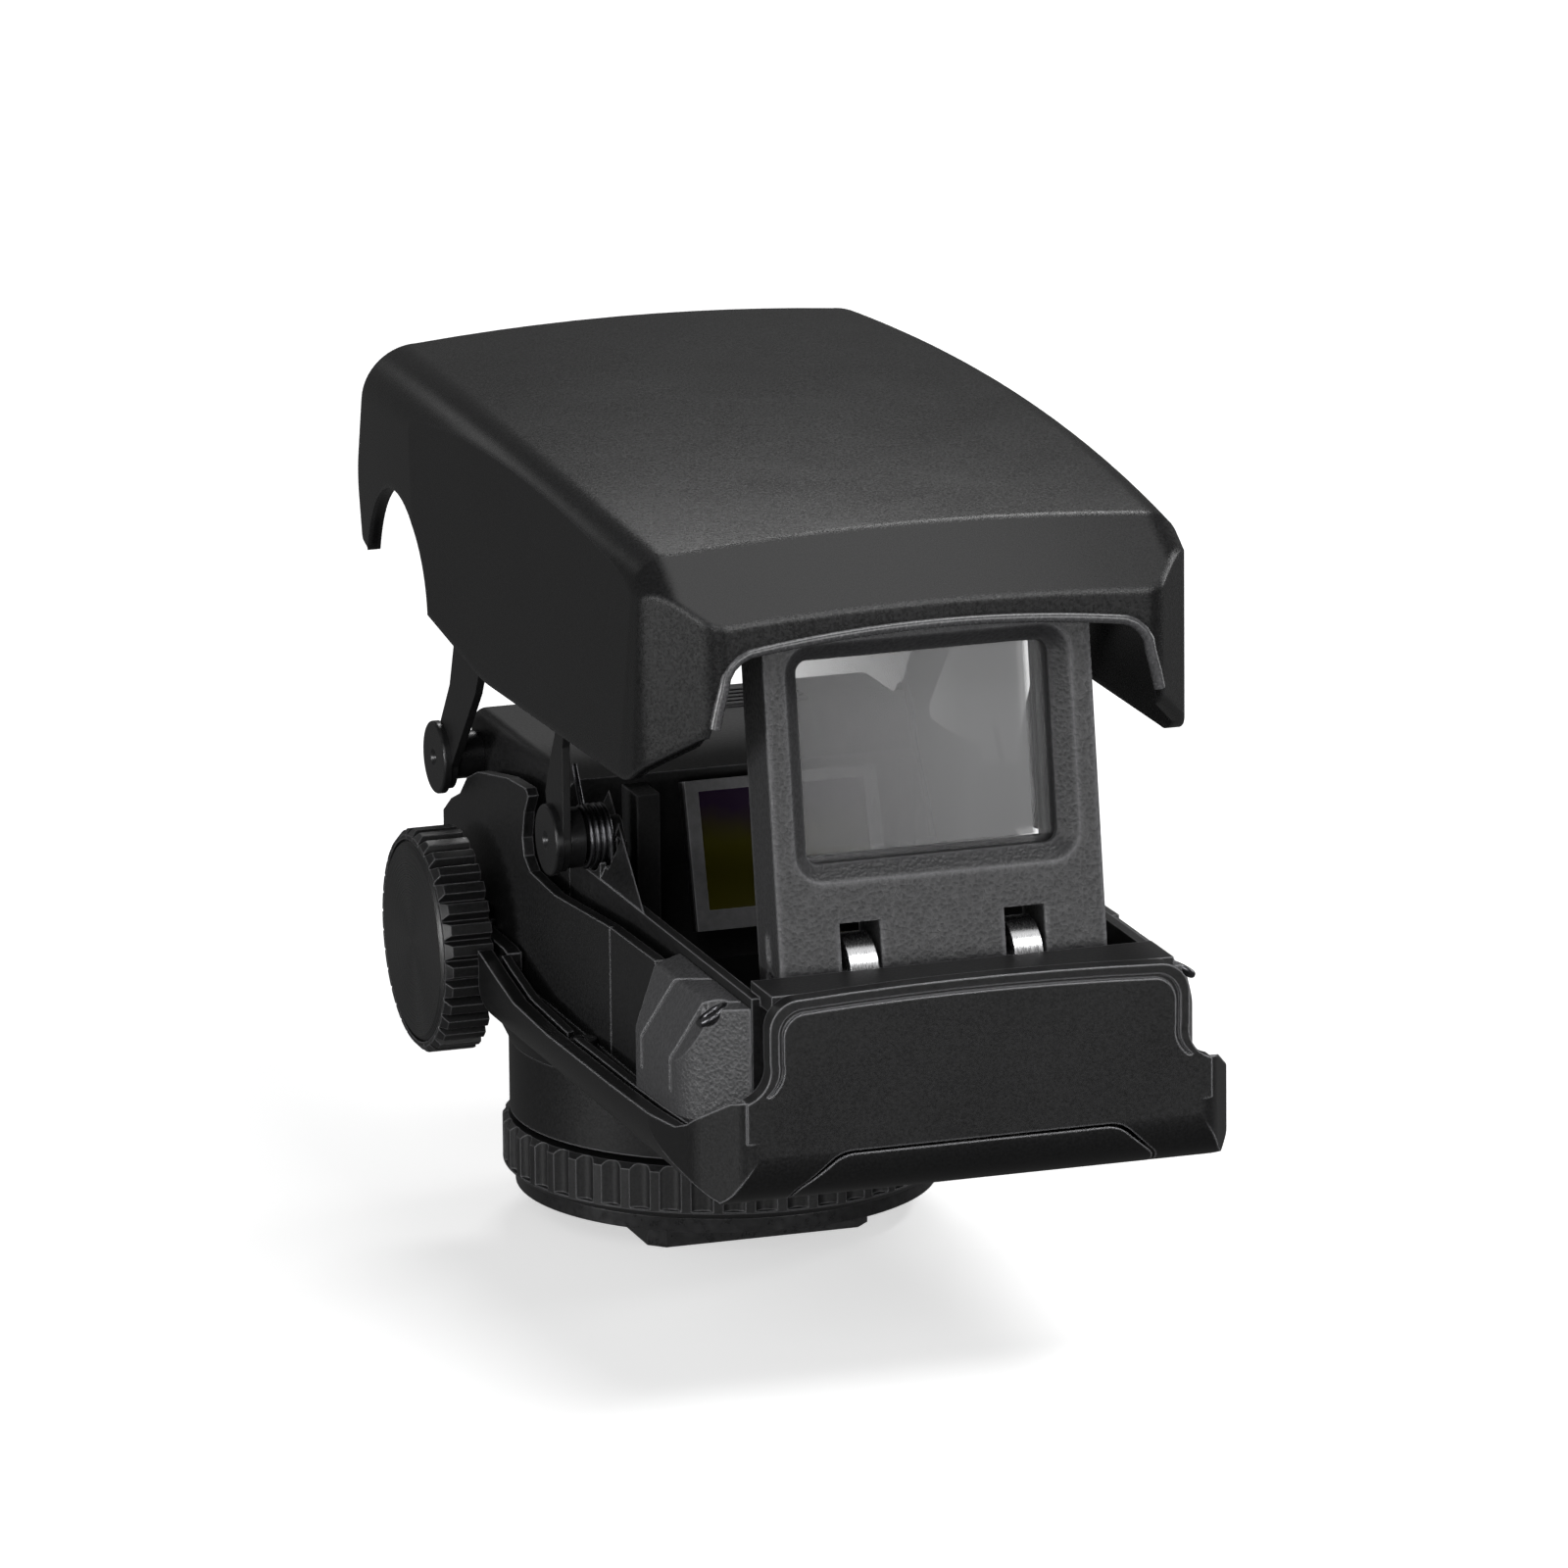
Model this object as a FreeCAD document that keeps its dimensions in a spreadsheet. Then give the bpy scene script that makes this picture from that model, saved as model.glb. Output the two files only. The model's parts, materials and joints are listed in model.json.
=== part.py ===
import FreeCAD, Part
import math
import os

import Sketcher

# Folding dot sight for a camera's accessory shoe, in its open position.
# Origin: centre of the shoe foot's underside. +Z up, -Y towards the window, -X towards the big dial.
# Units are millimetres.

Vector = FreeCAD.Vector
Rotation = FreeCAD.Rotation
Placement = FreeCAD.Placement

doc = FreeCAD.newDocument("DotSight")
sheet = doc.addObject("Spreadsheet::Sheet", "Dims")

# Driving dimensions: alias, value, what it is.
DIMENSIONS = [
    ("foot_half", 9.3, "half width of the shoe foot"),
    ("foot_reach", 9.0, "half length of the shoe foot"),
    ("foot_thick", 1.9, "thickness of the shoe foot"),
    ("neck_radius", 6.1, "neck between the shoe rails"),
    ("stem_radius", 8.0, "threaded stem"),
    ("washer_radius", 17.0, "clamp washer"),
    ("washer_low", 2.9, "underside of the clamp washer"),
    ("washer_thick", 1.2, "thickness of the clamp washer"),
    ("ring_radius", 18.0, "lock ring over its grips"),
    ("ring_low", 4.3, "underside of the lock ring"),
    ("ring_high", 8.5, "top of the lock ring"),
    ("ring_grips", 44, "scallops round the lock ring"),
    ("turret_radius", 17.4, "round turret under the base"),
    ("turret_low", 9.0, "underside of the turret"),
    ("base_half", 22.7, "half width of the base at its rim"),
    ("base_low", 18.4, "underside of the base"),
    ("base_front", -61.9, "front face of the base"),
    ("base_rear", 16.4, "rear face of the base"),
    ("shell_wall", 1.2, "wall of the base"),
    ("ledge_top", 22.4, "ledge beside the chassis walls"),
    ("wall_outer", 19.0, "outer face of the chassis walls"),
    ("wall_thick", 0.9, "thickness of the chassis walls"),
    ("well_half", 16.1, "half width of the window's well"),
    ("well_wall", 0.8, "wall of the well"),
    ("well_floor", 24.6, "floor of the well"),
    ("housing_top", 40.3, "top of the rear housing"),
    ("housing_front", -12.6, "front face of the rear housing"),
    ("housing_rear", 13.8, "rear face of the rear housing"),
    ("pivot_rear_y", 11.3, "rear ground pivot"),
    ("pivot_rear_z", 36.7, "rear ground pivot"),
    ("pivot_front_y", -18.2, "front ground pivot"),
    ("pivot_front_z", 37.2, "front ground pivot"),
    ("arm_length", 20.0, "arm between its pivots"),
    ("arm_angle", 114.95, "open arm's direction from +Y"),
    ("arm_inner", 19.35, "inner face of the arms"),
    ("arm_thick", 0.65, "thickness of the arms"),
    ("dial_y", 3.0, "axis of the side dials"),
    ("dial_z", 24.0, "axis of the side dials"),
    ("dial_radius", 9.0, "brightness dial over its grips"),
    ("dial_room", 9.6, "recesses that the brightness dial turns in"),
    ("dial_inner", 21.2, "inner face of the side dials"),
    ("dial_outer", 25.1, "outer face of the brightness dial"),
    ("dial_grips", 33, "grooves round the brightness dial"),
    ("knob_radius", 7.5, "elevation knob"),
    ("knob_outer", 24.3, "outer face of the elevation knob"),
    ("knob_grips", 60, "grooves round the elevation knob"),
    ("hinge_y", -51.2, "window hinge"),
    ("hinge_z", 33.4, "window hinge"),
    ("frame_half", 13.2, "half width of the window frame"),
    ("frame_high", 27.5, "window frame above its hinge"),
    ("frame_deep", 5.3, "depth of the window frame"),
    ("frame_lean", 8.8, "backward lean of the window frame"),
    ("cover_half", 22.6, "half width of the cover at its lower edge"),
    ("cover_top", 22.2, "half width of the cover at its roof"),
    ("cover_wall", 1.1, "wall of the cover"),
    ("cell_radius", 10.0, "coin cell"),
    ("cell_thick", 3.2, "coin cell"),
    ("cell_y", -48.6, "centre of the coin cell"),
]
for row, (alias, number, meaning) in enumerate(DIMENSIONS, start=1):
    sheet.set(f"A{row}", meaning)
    sheet.set(f"B{row}", str(number))
    sheet.setAlias(f"B{row}", alias)
doc.recompute()

D = {alias: float(sheet.get(alias)) for alias, number, meaning in DIMENSIONS}
SUB_PARTS = []


# ---- plain shapes ----

def box(x0, x1, y0, y1, z0, z1):
    return Part.makeBox(x1 - x0, y1 - y0, z1 - z0, Vector(x0, y0, z0))


def cylinder_x(x0, x1, y, z, radius):
    return Part.makeCylinder(radius, x1 - x0, Vector(x0, y, z), Vector(1, 0, 0))


def cylinder_y(x, y0, y1, z, radius):
    return Part.makeCylinder(radius, y1 - y0, Vector(x, y0, z), Vector(0, 1, 0))


def cylinder_z(x, y, z0, z1, radius):
    return Part.makeCylinder(radius, z1 - z0, Vector(x, y, z0), Vector(0, 0, 1))


def prism_x(outline, x0, x1):
    """Solid with an outline of (y, z) points between two X planes."""
    loop = Part.makePolygon([Vector(x0, y, z) for y, z in outline + outline[:1]])
    return Part.Face(loop).extrude(Vector(x1 - x0, 0, 0))


def prism_y(outline, y0, y1):
    """Solid with an outline of (x, z) points between two Y planes."""
    loop = Part.makePolygon([Vector(x, y0, z) for x, z in outline + outline[:1]])
    return Part.Face(loop).extrude(Vector(0, y1 - y0, 0))


def prism_z(outline, z0, z1):
    """Solid with an outline of (x, y) points between two Z planes."""
    loop = Part.makePolygon([Vector(x, y, z0) for x, y in outline + outline[:1]])
    return Part.Face(loop).extrude(Vector(0, 0, z1 - z0))


def soft_face(corners, place):
    """A face whose (u, v, radius) corners are rounded; place turns u and v into a point."""
    rounds = []
    for number, (u, v, radius) in enumerate(corners):
        here = Vector(u, v, 0)
        before = corners[number - 1]
        after = corners[(number + 1) % len(corners)]
        back = (Vector(before[0], before[1], 0) - here).normalize()
        ahead = (Vector(after[0], after[1], 0) - here).normalize()
        half_angle = back.getAngle(ahead) / 2
        reach = radius / math.tan(half_angle)
        middle = here + (back + ahead).normalize() * (radius / math.sin(half_angle) - radius) if radius else here
        rounds.append((here + back * reach, middle, here + ahead * reach, radius))
    edges = []
    for number, (start, middle, end, radius) in enumerate(rounds):
        if radius:
            edges.append(Part.Arc(*(place(point.x, point.y) for point in (start, middle, end))).toShape())
        following = rounds[(number + 1) % len(rounds)][0]
        edges.append(Part.makeLine(place(end.x, end.y), place(following.x, following.y)))
    return Part.Face(Part.Wire(edges))


def soft_prism_x(corners, x0, x1):
    """Rounded (y, z, radius) corners drawn out from x0 to x1."""
    return soft_face(corners, lambda y, z: Vector(x0, y, z)).extrude(Vector(x1 - x0, 0, 0))


def soft_prism_y(corners, y0, y1):
    """Rounded (x, z, radius) corners drawn out from y0 to y1."""
    return soft_face(corners, lambda x, z: Vector(x, y0, z)).extrude(Vector(0, y1 - y0, 0))


def soft_prism_z(corners, z0, z1):
    """Rounded (x, y, radius) corners drawn out from z0 to z1."""
    return soft_face(corners, lambda x, y: Vector(x, y, z0)).extrude(Vector(0, 0, z1 - z0))


def soft_halves(corners):
    """Closes the right half of a rounded outline with its mirror image."""
    return corners + [(-u, v, radius) for u, v, radius in reversed(corners)]


def both_halves(outline):
    """Closes a right-hand (x, z) or (x, y) outline with its mirror image."""
    return outline + [(-x, other) for x, other in reversed(outline) if x > 0]


def mirrored(shape):
    return shape.mirror(Vector(0, 0, 0), Vector(1, 0, 0))


def side_shape(shape, side):
    """The shape as drawn on +X for the right side, mirrored for the left."""
    return shape if side == "right" else mirrored(shape)


def rounded(shape, radius, keep):
    """Fillets the edges that keep() picks."""
    edges = [edge for edge in shape.Edges if keep(edge)]
    return shape.makeFillet(radius, edges)


def along(edge, axis):
    """True for a straight edge along an axis."""
    if edge.Curve.TypeId != "Part::GeomLine":
        return False
    return abs(abs(edge.Curve.Direction.dot(axis)) - 1) < 1e-6


X_AXIS = Vector(1, 0, 0)
Y_AXIS = Vector(0, 1, 0)
Z_AXIS = Vector(0, 0, 1)


# ---- document objects ----

def feature(label, shape):
    """A sub-part whose shape is made by the functions above."""
    item = doc.addObject("Part::Feature", label)
    item.Shape = shape.removeSplitter()
    item.Placement = Placement()
    item.Label = label
    SUB_PARTS.append(item)
    return item


def rod(label, radius, length, place, direction):
    """A plain cylinder with its size bound to the sheet."""
    item = doc.addObject("Part::Cylinder", label)
    item.setExpression("Radius", radius)
    item.setExpression("Height", length)
    item.Placement = Placement(Vector(*place), Rotation(Z_AXIS, Vector(*direction)))
    item.Label = label
    SUB_PARTS.append(item)
    return item


def tube(label, outer, inner, length, place):
    """A washer or bush along Z with its sizes bound to the sheet."""
    solid = doc.addObject("Part::Cylinder", label + "_solid")
    solid.setExpression("Radius", outer)
    solid.setExpression("Height", length)
    hole = doc.addObject("Part::Cylinder", label + "_hole")
    hole.setExpression("Radius", inner)
    hole.setExpression("Height", length)
    item = doc.addObject("Part::Cut", label)
    item.Base = solid
    item.Tool = hole
    item.Placement = Placement(Vector(*place), Rotation())
    item.Label = label
    SUB_PARTS.append(item)
    return item


def new_body(label):
    body = doc.addObject("PartDesign::Body", label)
    body.Label = label
    SUB_PARTS.append(body)
    return body


def sketch_on(body, role, name, offset="0"):
    """A sketch on one of the body's own origin planes, moved along the plane's normal."""
    plane = next(item for item in body.Origin.OriginFeatures if item.Role == role)
    sketch = body.newObject("Sketcher::SketchObject", name)
    sketch.AttachmentSupport = [(plane, "")]
    sketch.MapMode = "FlatFace"
    sketch.setExpression(".AttachmentOffset.Base.z", offset)
    return sketch


def draw_circle(sketch, centre, radius):
    """A circle whose radius is bound to the sheet."""
    index = sketch.addGeometry(Part.Circle(Vector(centre[0], centre[1], 0), Z_AXIS, 1.0))
    rule = sketch.addConstraint(Sketcher.Constraint("Radius", index, 1.0))
    sketch.setExpression(f"Constraints[{rule}]", radius)
    sketch.addConstraint(Sketcher.Constraint("DistanceX", index, 3, centre[0]))
    sketch.addConstraint(Sketcher.Constraint("DistanceY", index, 3, centre[1]))


def draw_polygon(sketch, points):
    for start, end in zip(points, points[1:] + points[:1]):
        line = Part.LineSegment(Vector(start[0], start[1], 0), Vector(end[0], end[1], 0))
        sketch.addGeometry(line)


def pad(body, sketch, name, length, backwards=False):
    item = body.newObject("PartDesign::Pad", name)
    item.Profile = sketch
    item.setExpression("Length", length)
    item.Reversed = backwards
    return item


def pocket(body, sketch, name, length, backwards=False):
    item = body.newObject("PartDesign::Pocket", name)
    item.Profile = sketch
    item.setExpression("Length", length)
    item.Reversed = backwards
    return item


def dress(body, kind, name, size, keep):
    """A fillet or chamfer on the edges of the body's last feature that keep() picks."""
    base = body.Tip
    edges = [f"Edge{number + 1}" for number, edge in enumerate(base.Shape.Edges) if keep(edge)]
    item = body.newObject("PartDesign::" + kind, name)
    item.Base = (base, edges)
    if kind == "Fillet":
        item.Radius = size
    else:
        item.Size = size
    body.Tip = item
    doc.recompute()


def polar_grips(body, cut, axis_role, count):
    """Repeats a cut round one of the body's origin axes."""
    axis = next(item for item in body.Origin.OriginFeatures if item.Role == axis_role)
    before = body.Shape.Volume
    pattern = body.newObject("PartDesign::PolarPattern", "Grips")
    pattern.Originals = [cut]
    pattern.Axis = (axis, [""])
    pattern.Angle = 360
    pattern.setExpression("Occurrences", count)
    body.Tip = pattern
    doc.recompute()
    assert body.Shape.Volume < before, body.Label


# ---- shoe foot, clamp and lock ring ----

def shoe_foot():
    body = new_body("shoe_foot")
    half = D["foot_half"]
    reach = D["foot_reach"]
    corner = 1.2
    outline = [(half, reach), (-half, reach), (-half, corner - reach), (corner - half, -reach),
               (half - corner, -reach), (half, corner - reach)]
    plate = sketch_on(body, "XY_Plane", "Plate")
    draw_polygon(plate, outline)
    pad(body, plate, "PlatePad", "Dims.foot_thick")
    neck = sketch_on(body, "XY_Plane", "Neck", "Dims.foot_thick")
    draw_circle(neck, (0, 0), "Dims.neck_radius")
    pad(body, neck, "NeckPad", "Dims.washer_low - Dims.foot_thick")
    screws = sketch_on(body, "XY_Plane", "ScrewHoles", "Dims.washer_low")
    for x, y in SCREW_PLACES:
        draw_circle(screws, (x, y), "0.95")
    pocket(body, screws, "ScrewPocket", "Dims.washer_low")


SCREW_PLACES = [(x, y) for x in (-3.4, 3.4) for y in (-3.4, 3.4)]


def foot_screws():
    """Four screws from below, their heads sunk in the foot."""
    screws = []
    for x, y in SCREW_PLACES:
        shank = cylinder_z(x, y, 0.3, D["turret_low"], 0.95)
        screws.append(shank.cut(box(x - 0.2, x + 0.2, y - 0.7, y + 0.7, 0.3, 0.7)))
    feature("foot_screws", Part.makeCompound(screws))


def foot_stem():
    """The threaded stem that the lock ring runs on."""
    stem = cylinder_z(0, 0, D["washer_low"], D["turret_low"], D["stem_radius"])
    for x, y in SCREW_PLACES:
        stem = stem.cut(cylinder_z(x, y, D["washer_low"], D["turret_low"], 0.95))
    thread_pitch = 1.0
    groove_count = 5
    for turn in range(groove_count):
        level = D["washer_low"] + 0.9 + turn * thread_pitch
        groove = cylinder_z(0, 0, level, level + 0.4, D["stem_radius"])
        stem = stem.cut(groove.cut(cylinder_z(0, 0, level, level + 0.4, D["stem_radius"] - 0.3)))
    feature("foot_stem", stem)


def lock_ring():
    """A low ring with round scallops between its grips."""
    body = new_body("lock_ring")
    blank = sketch_on(body, "XY_Plane", "Blank", "Dims.ring_low")
    draw_circle(blank, (0, 0), "Dims.ring_radius")
    draw_circle(blank, (0, 0), "Dims.stem_radius + 0.35")
    pad(body, blank, "BlankPad", "Dims.ring_high - Dims.ring_low")
    doc.recompute()
    dress(body, "Chamfer", "Rim", 0.45, lambda edge: abs(edge.BoundBox.XMax - D["ring_radius"]) < 0.01
          and edge.BoundBox.ZLength < 0.01)
    scallop = sketch_on(body, "XY_Plane", "Scallop", "Dims.ring_high")
    draw_circle(scallop, (D["ring_radius"] + 0.55, 0), "1.05")
    cut = pocket(body, scallop, "ScallopPocket", "Dims.ring_high - Dims.ring_low - 0.6")
    doc.recompute()
    polar_grips(body, cut, "Z_Axis", "Dims.ring_grips")


# ---- base ----

def rim_line(drop=0.0):
    """The base's upper edge seen from the side, from its front corner to its rear."""
    points = [(-61.9, 27.3), (-60.6, 27.0), (-56.4, 24.5), (-54.3, 23.8), (-40.0, 23.4), (-24.0, 23.2),
              (-15.5, 23.5), (-10.5, 24.5), (-6.5, 25.4), (16.4, 25.6)]
    return [(y, z - drop) for y, z in points]


def tub(inset, raise_rim=0.0):
    """The lower casing as a full solid, shrunk by inset on its outer faces."""
    low = D["base_low"] + inset
    front = D["base_front"] + inset
    rear = D["base_rear"] - inset
    side = [(y, z + raise_rim) for y, z in rim_line()]
    side[0] = (front, side[0][1])
    side[-1] = (rear, side[-1][1])
    side = [point for point in side if front <= point[0] <= rear]
    profile = [(rear, low, 0), (front, low, max(4.4 - inset, 1.0))] + [(y, z, 0) for y, z in side]
    from_side = soft_prism_x(profile, -D["base_half"], D["base_half"])
    half = D["base_half"] - inset
    section = [(half, 40.0, 0), (half, low, max(4.6 - inset, 1.0))]
    from_front = soft_prism_y(soft_halves(section), front - 1, rear + 1)
    corner = inset * 0.5
    plan = [(18.9 - corner, front, 2.0), (21.7 - corner, front + 4.6, 4.0), (half, front + 12.0, 6.0),
            (half, rear, 4.5)]
    from_top = soft_prism_z(soft_halves(plan), low - 1, 40.0)
    return from_side.common(from_front).common(from_top)


def front_outline(inset):
    """The raised front panel from the front: flared foot, upright sides, round corners, crowned top."""
    half = 16.9 - inset
    top = 35.0 - inset
    round_corner = 2.4 - inset * 0.5
    right = [Vector(18.75 - inset, 0, 24.0), Vector(18.75 - inset, 0, 27.2), Vector(half, 0, 30.2),
             Vector(half, 0, top - round_corner), Vector(half - round_corner, 0, top)]
    left = [Vector(-point.x, 0, point.z) for point in right]
    flare = Vector(17.25 - inset, 0, 28.3)
    bend = Vector(half - round_corner * 0.29, 0, top - round_corner * 0.29)
    edges = [Part.LineSegment(left[0], right[0]),
             Part.LineSegment(right[0], right[1]),
             Part.Arc(right[1], flare, right[2]),
             Part.LineSegment(right[2], right[3]),
             Part.Arc(right[3], bend, right[4]),
             Part.Arc(right[4], Vector(0, 0, top + 0.4), left[4]),
             Part.Arc(left[4], Vector(-bend.x, 0, bend.z), left[3]),
             Part.LineSegment(left[3], left[2]),
             Part.Arc(left[2], Vector(-flare.x, 0, flare.z), left[1]),
             Part.LineSegment(left[1], left[0])]
    return Part.Face(Part.Wire([edge.toShape() for edge in edges]))


def front_plate():
    """The front panel, with a groove that sets its rim off from its face."""
    front = D["base_front"]
    plate = front_outline(0).extrude(Vector(0, 1.6, 0))
    plate.translate(Vector(0, front, 0))
    groove = front_outline(0.75).cut(front_outline(1.1)).extrude(Vector(0, 0.3, 0))
    groove.translate(Vector(0, front, 0))
    above_fold = box(-20, 20, front - 1, front + 3, 27.6, 40)
    return plate.cut(groove.common(above_fold))


def door_blank(gap):
    """The battery door's outline from the front, swept back under the base."""
    half = 14.5 + gap
    top = 22.5 + gap
    outline = [(half - 3.4, top, 2.6), (half, 19.6, 1.6), (half, 15.0, 0)]
    return soft_prism_y(soft_halves(outline), D["base_front"] - 1, DOOR_HINGE[0] + 1.3 + gap)


DOOR_HINGE = (-37.0, 19.7)
DOOR_KNUCKLES = [(-11.0, -5.0), (5.0, 11.0)]


def turret():
    """The round turret under the base, with the flare that joins it to the underside."""
    radius = D["turret_radius"]
    low = D["turret_low"]
    drum = cylinder_z(0, 0, low, 15.0, radius)
    flare = Part.makeCone(radius, radius + 1.9, D["base_low"] + 0.6 - 15.0, Vector(0, 0, 15.0))
    return drum.fuse(flare.common(box(-30, 30, -30, D["base_rear"], 0, 30)))


def dial_pan(side):
    """The recess in the base's side that a side dial turns in."""
    y = D["dial_y"]
    z = D["dial_z"]
    recess = cylinder_x(20.6, 26, y, z, D["dial_room"])
    pan = cylinder_x(19.4, 20.6, y, z, D["dial_room"] + 1.0).common(tub(0)).cut(cylinder_x(19, 21, y, z, 3.6))
    return side_shape(recess, side), side_shape(pan, side)


def base_shell():
    wall = D["shell_wall"]
    inside = tub(wall).fuse(tub(wall, 8.0))
    shell = tub(0).cut(inside)
    shell = shell.fuse(front_plate())
    hollow_radius = D["turret_radius"] - 1.6
    shell = shell.fuse(turret())
    shell = shell.cut(cylinder_z(0, 0, D["turret_low"] + 1.6, D["base_low"] + wall, hollow_radius))
    for side in ("left", "right"):
        recess, pan = dial_pan(side)
        shell = shell.cut(recess).fuse(pan)
    shell = shell.cut(door_blank(0.25).common(box(-20, 20, -70, -30, 10, 24)))
    y, z = DOOR_HINGE
    middle = cylinder_x(-4.7, 4.7, y, z, 1.1).cut(cylinder_x(-5, 5, y, z, 0.55))
    web = box(-4.7, 4.7, y + 0.8, y + 2.2, D["base_low"], z + 1.0)
    shell = shell.fuse(middle).fuse(web.cut(cylinder_x(-5, 5, y, z, 1.0)))
    for x0, x1 in ((-26, -19), (19, 26)):
        shell = shell.cut(cylinder_x(x0, x1, D["dial_y"], D["dial_z"], 3.6))
    release_slot = box(-6.6, 6.6, D["base_rear"] - 3, D["base_rear"] + 1, 20.6, 23.4)
    shell = shell.cut(release_slot)
    feature("base_shell", shell)


def rim_flange():
    """The chassis flange that stands just inside the base's rim, across a thin dark gap."""
    outer = tub(1.55, 0.1)
    inner = tub(2.25, 0.3)
    band = outer.cut(inner).cut(tub(1.5, -1.6))
    band = band.common(box(-30, 30, -56.0, -7.9, D["ledge_top"], 30))
    for x in (-CASE_SCREW[0], CASE_SCREW[0]):
        band = band.cut(cylinder_z(x, CASE_SCREW[1], 20, 30, 1.3))
    block = block_blank()
    feature("rim_flange", band.cut(block).cut(mirrored(block)))


def battery_door():
    shell = tub(0).cut(tub(D["shell_wall"]))
    leaf = shell.common(door_blank(0)).common(box(-20, 20, -70, DOOR_HINGE[0] - 1.4, 10, 24))
    y, z = DOOR_HINGE
    for x0, x1 in DOOR_KNUCKLES:
        knuckle = cylinder_x(x0, x1, y, z, 1.1)
        strap = box(x0, x1, y - 1.6, y, D["base_low"], D["base_low"] + 1.1)
        leaf = leaf.fuse(strap).fuse(knuckle)
    feature("battery_door", leaf.cut(cylinder_x(-12, 12, y, z, 0.6)))


def battery_parts():
    y = D["cell_y"]
    low = D["base_low"] + D["shell_wall"] + 0.75
    rod("coin_cell", "Dims.cell_radius", "Dims.cell_thick", (0, y, low), (0, 0, 1))
    top = low + D["cell_thick"]
    clip = box(-2.5, 2.5, y - 4, y + 13, top, top + 0.3)
    leg = box(-2.5, 2.5, y + 12.7, y + 13, top, D["well_floor"] - 0.7)
    feature("battery_contact_top", clip.fuse(leg))
    feature("battery_contact_base", box(-8.5, 8.5, y - 0.8, y + 0.8, low - 0.25, low))


# ---- chassis ----

def wall_outline():
    """A chassis wall from the side: low beside the window, high beside the rear housing."""
    ledge = D["ledge_top"]
    return [(14.2, ledge), (14.2, 31.5), (12.0, 33.0), (9.6, 34.0), (7.6, 35.8), (4.6, 37.0), (-3.2, 38.4),
            (-7.9, 38.7), (-8.6, 38.2), (-7.5, 36.6), (-6.9, 34.4), (-7.3, 33.0), (-8.8, 32.1),
            (-15.1, 31.8), (-29.2, 32.8), (-40.5, 33.0), (-40.5, ledge)]


def chassis():
    """The tray inside the base: ledge, two side walls, the window's well and its front wall."""
    ledge = D["ledge_top"]
    floor = D["well_floor"]
    outer = D["wall_outer"]
    front = -57.6
    tray = tub(1.55, 1.0).common(box(-21.0, 21.0, front, D["housing_rear"] + 0.3, ledge - 1.0, ledge))
    tray = tray.cut(box(-14.5, 14.5, front - 1, -33.0, ledge - 2, ledge + 1))
    for x0, x1 in ((-22, -19.3), (19.3, 22)):
        tray = tray.cut(cylinder_x(x0, x1, D["dial_y"], D["dial_z"], D["dial_room"] + 1.1))
    for x0, x1 in ((-22, -16.9), (16.9, 22)):
        tray = tray.cut(cylinder_x(x0, x1, D["dial_y"], D["dial_z"], 3.0))
    for side in ("left", "right"):
        wall = prism_x(wall_outline(), outer - D["wall_thick"], outer)
        seam = box(outer - 0.25, outer + 1, -29.35, -29.15, ledge, 34)
        wall = wall.cut(seam).cut(cylinder_x(outer - 2, outer + 1, D["dial_y"], D["dial_z"], 3.0))
        well = D["well_half"]
        liner = box(well, well + D["well_wall"], front, D["housing_front"], ledge, 34.2)
        bridge = box(well, outer - D["wall_thick"], -40.5, -22.0, ledge, 29.5)
        tray = tray.fuse(side_shape(wall, side))
        tray = tray.fuse(side_shape(liner.fuse(bridge), side))
    well_box = box(-D["well_half"], D["well_half"], front, D["housing_front"], floor - 0.7, floor)
    front_wall = box(-16.9, 16.9, front, front + 0.9, ledge, 33.6)
    front_wall = front_wall.cut(box(-7.0, 7.0, front - 1, front + 1.5, ledge - 1, 24.2))
    deck = box(-16.2, 16.2, D["base_front"] + 1.6, front + 2.2, 33.6, 35.0)
    for x in (-CASE_SCREW[0], CASE_SCREW[0]):
        tray = tray.cut(cylinder_z(x, CASE_SCREW[1], ledge - 2, ledge + 1, CASE_SCREW_ROOT))
    feature("chassis", tray.fuse(well_box).fuse(front_wall).fuse(deck))


CASE_SCREW = (20.1, -25.6)
CASE_SCREW_ROOT = 0.5


def case_screws():
    """The cross-head screws that hold the chassis in the base."""
    heads = []
    for x in (-CASE_SCREW[0], CASE_SCREW[0]):
        y = CASE_SCREW[1]
        ledge = D["ledge_top"]
        head = cylinder_z(x, y, ledge, ledge + 0.6, 1.05)
        cross = box(x - 0.75, x + 0.75, y - 0.14, y + 0.14, ledge + 0.2, ledge + 1)
        cross = cross.fuse(box(x - 0.14, x + 0.14, y - 0.75, y + 0.75, ledge + 0.2, ledge + 1))
        heads.append(head.cut(cross).fuse(cylinder_z(x, y, ledge - 0.5, ledge, CASE_SCREW_ROOT)))
    feature("case_screws", Part.makeCompound(heads))


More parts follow.
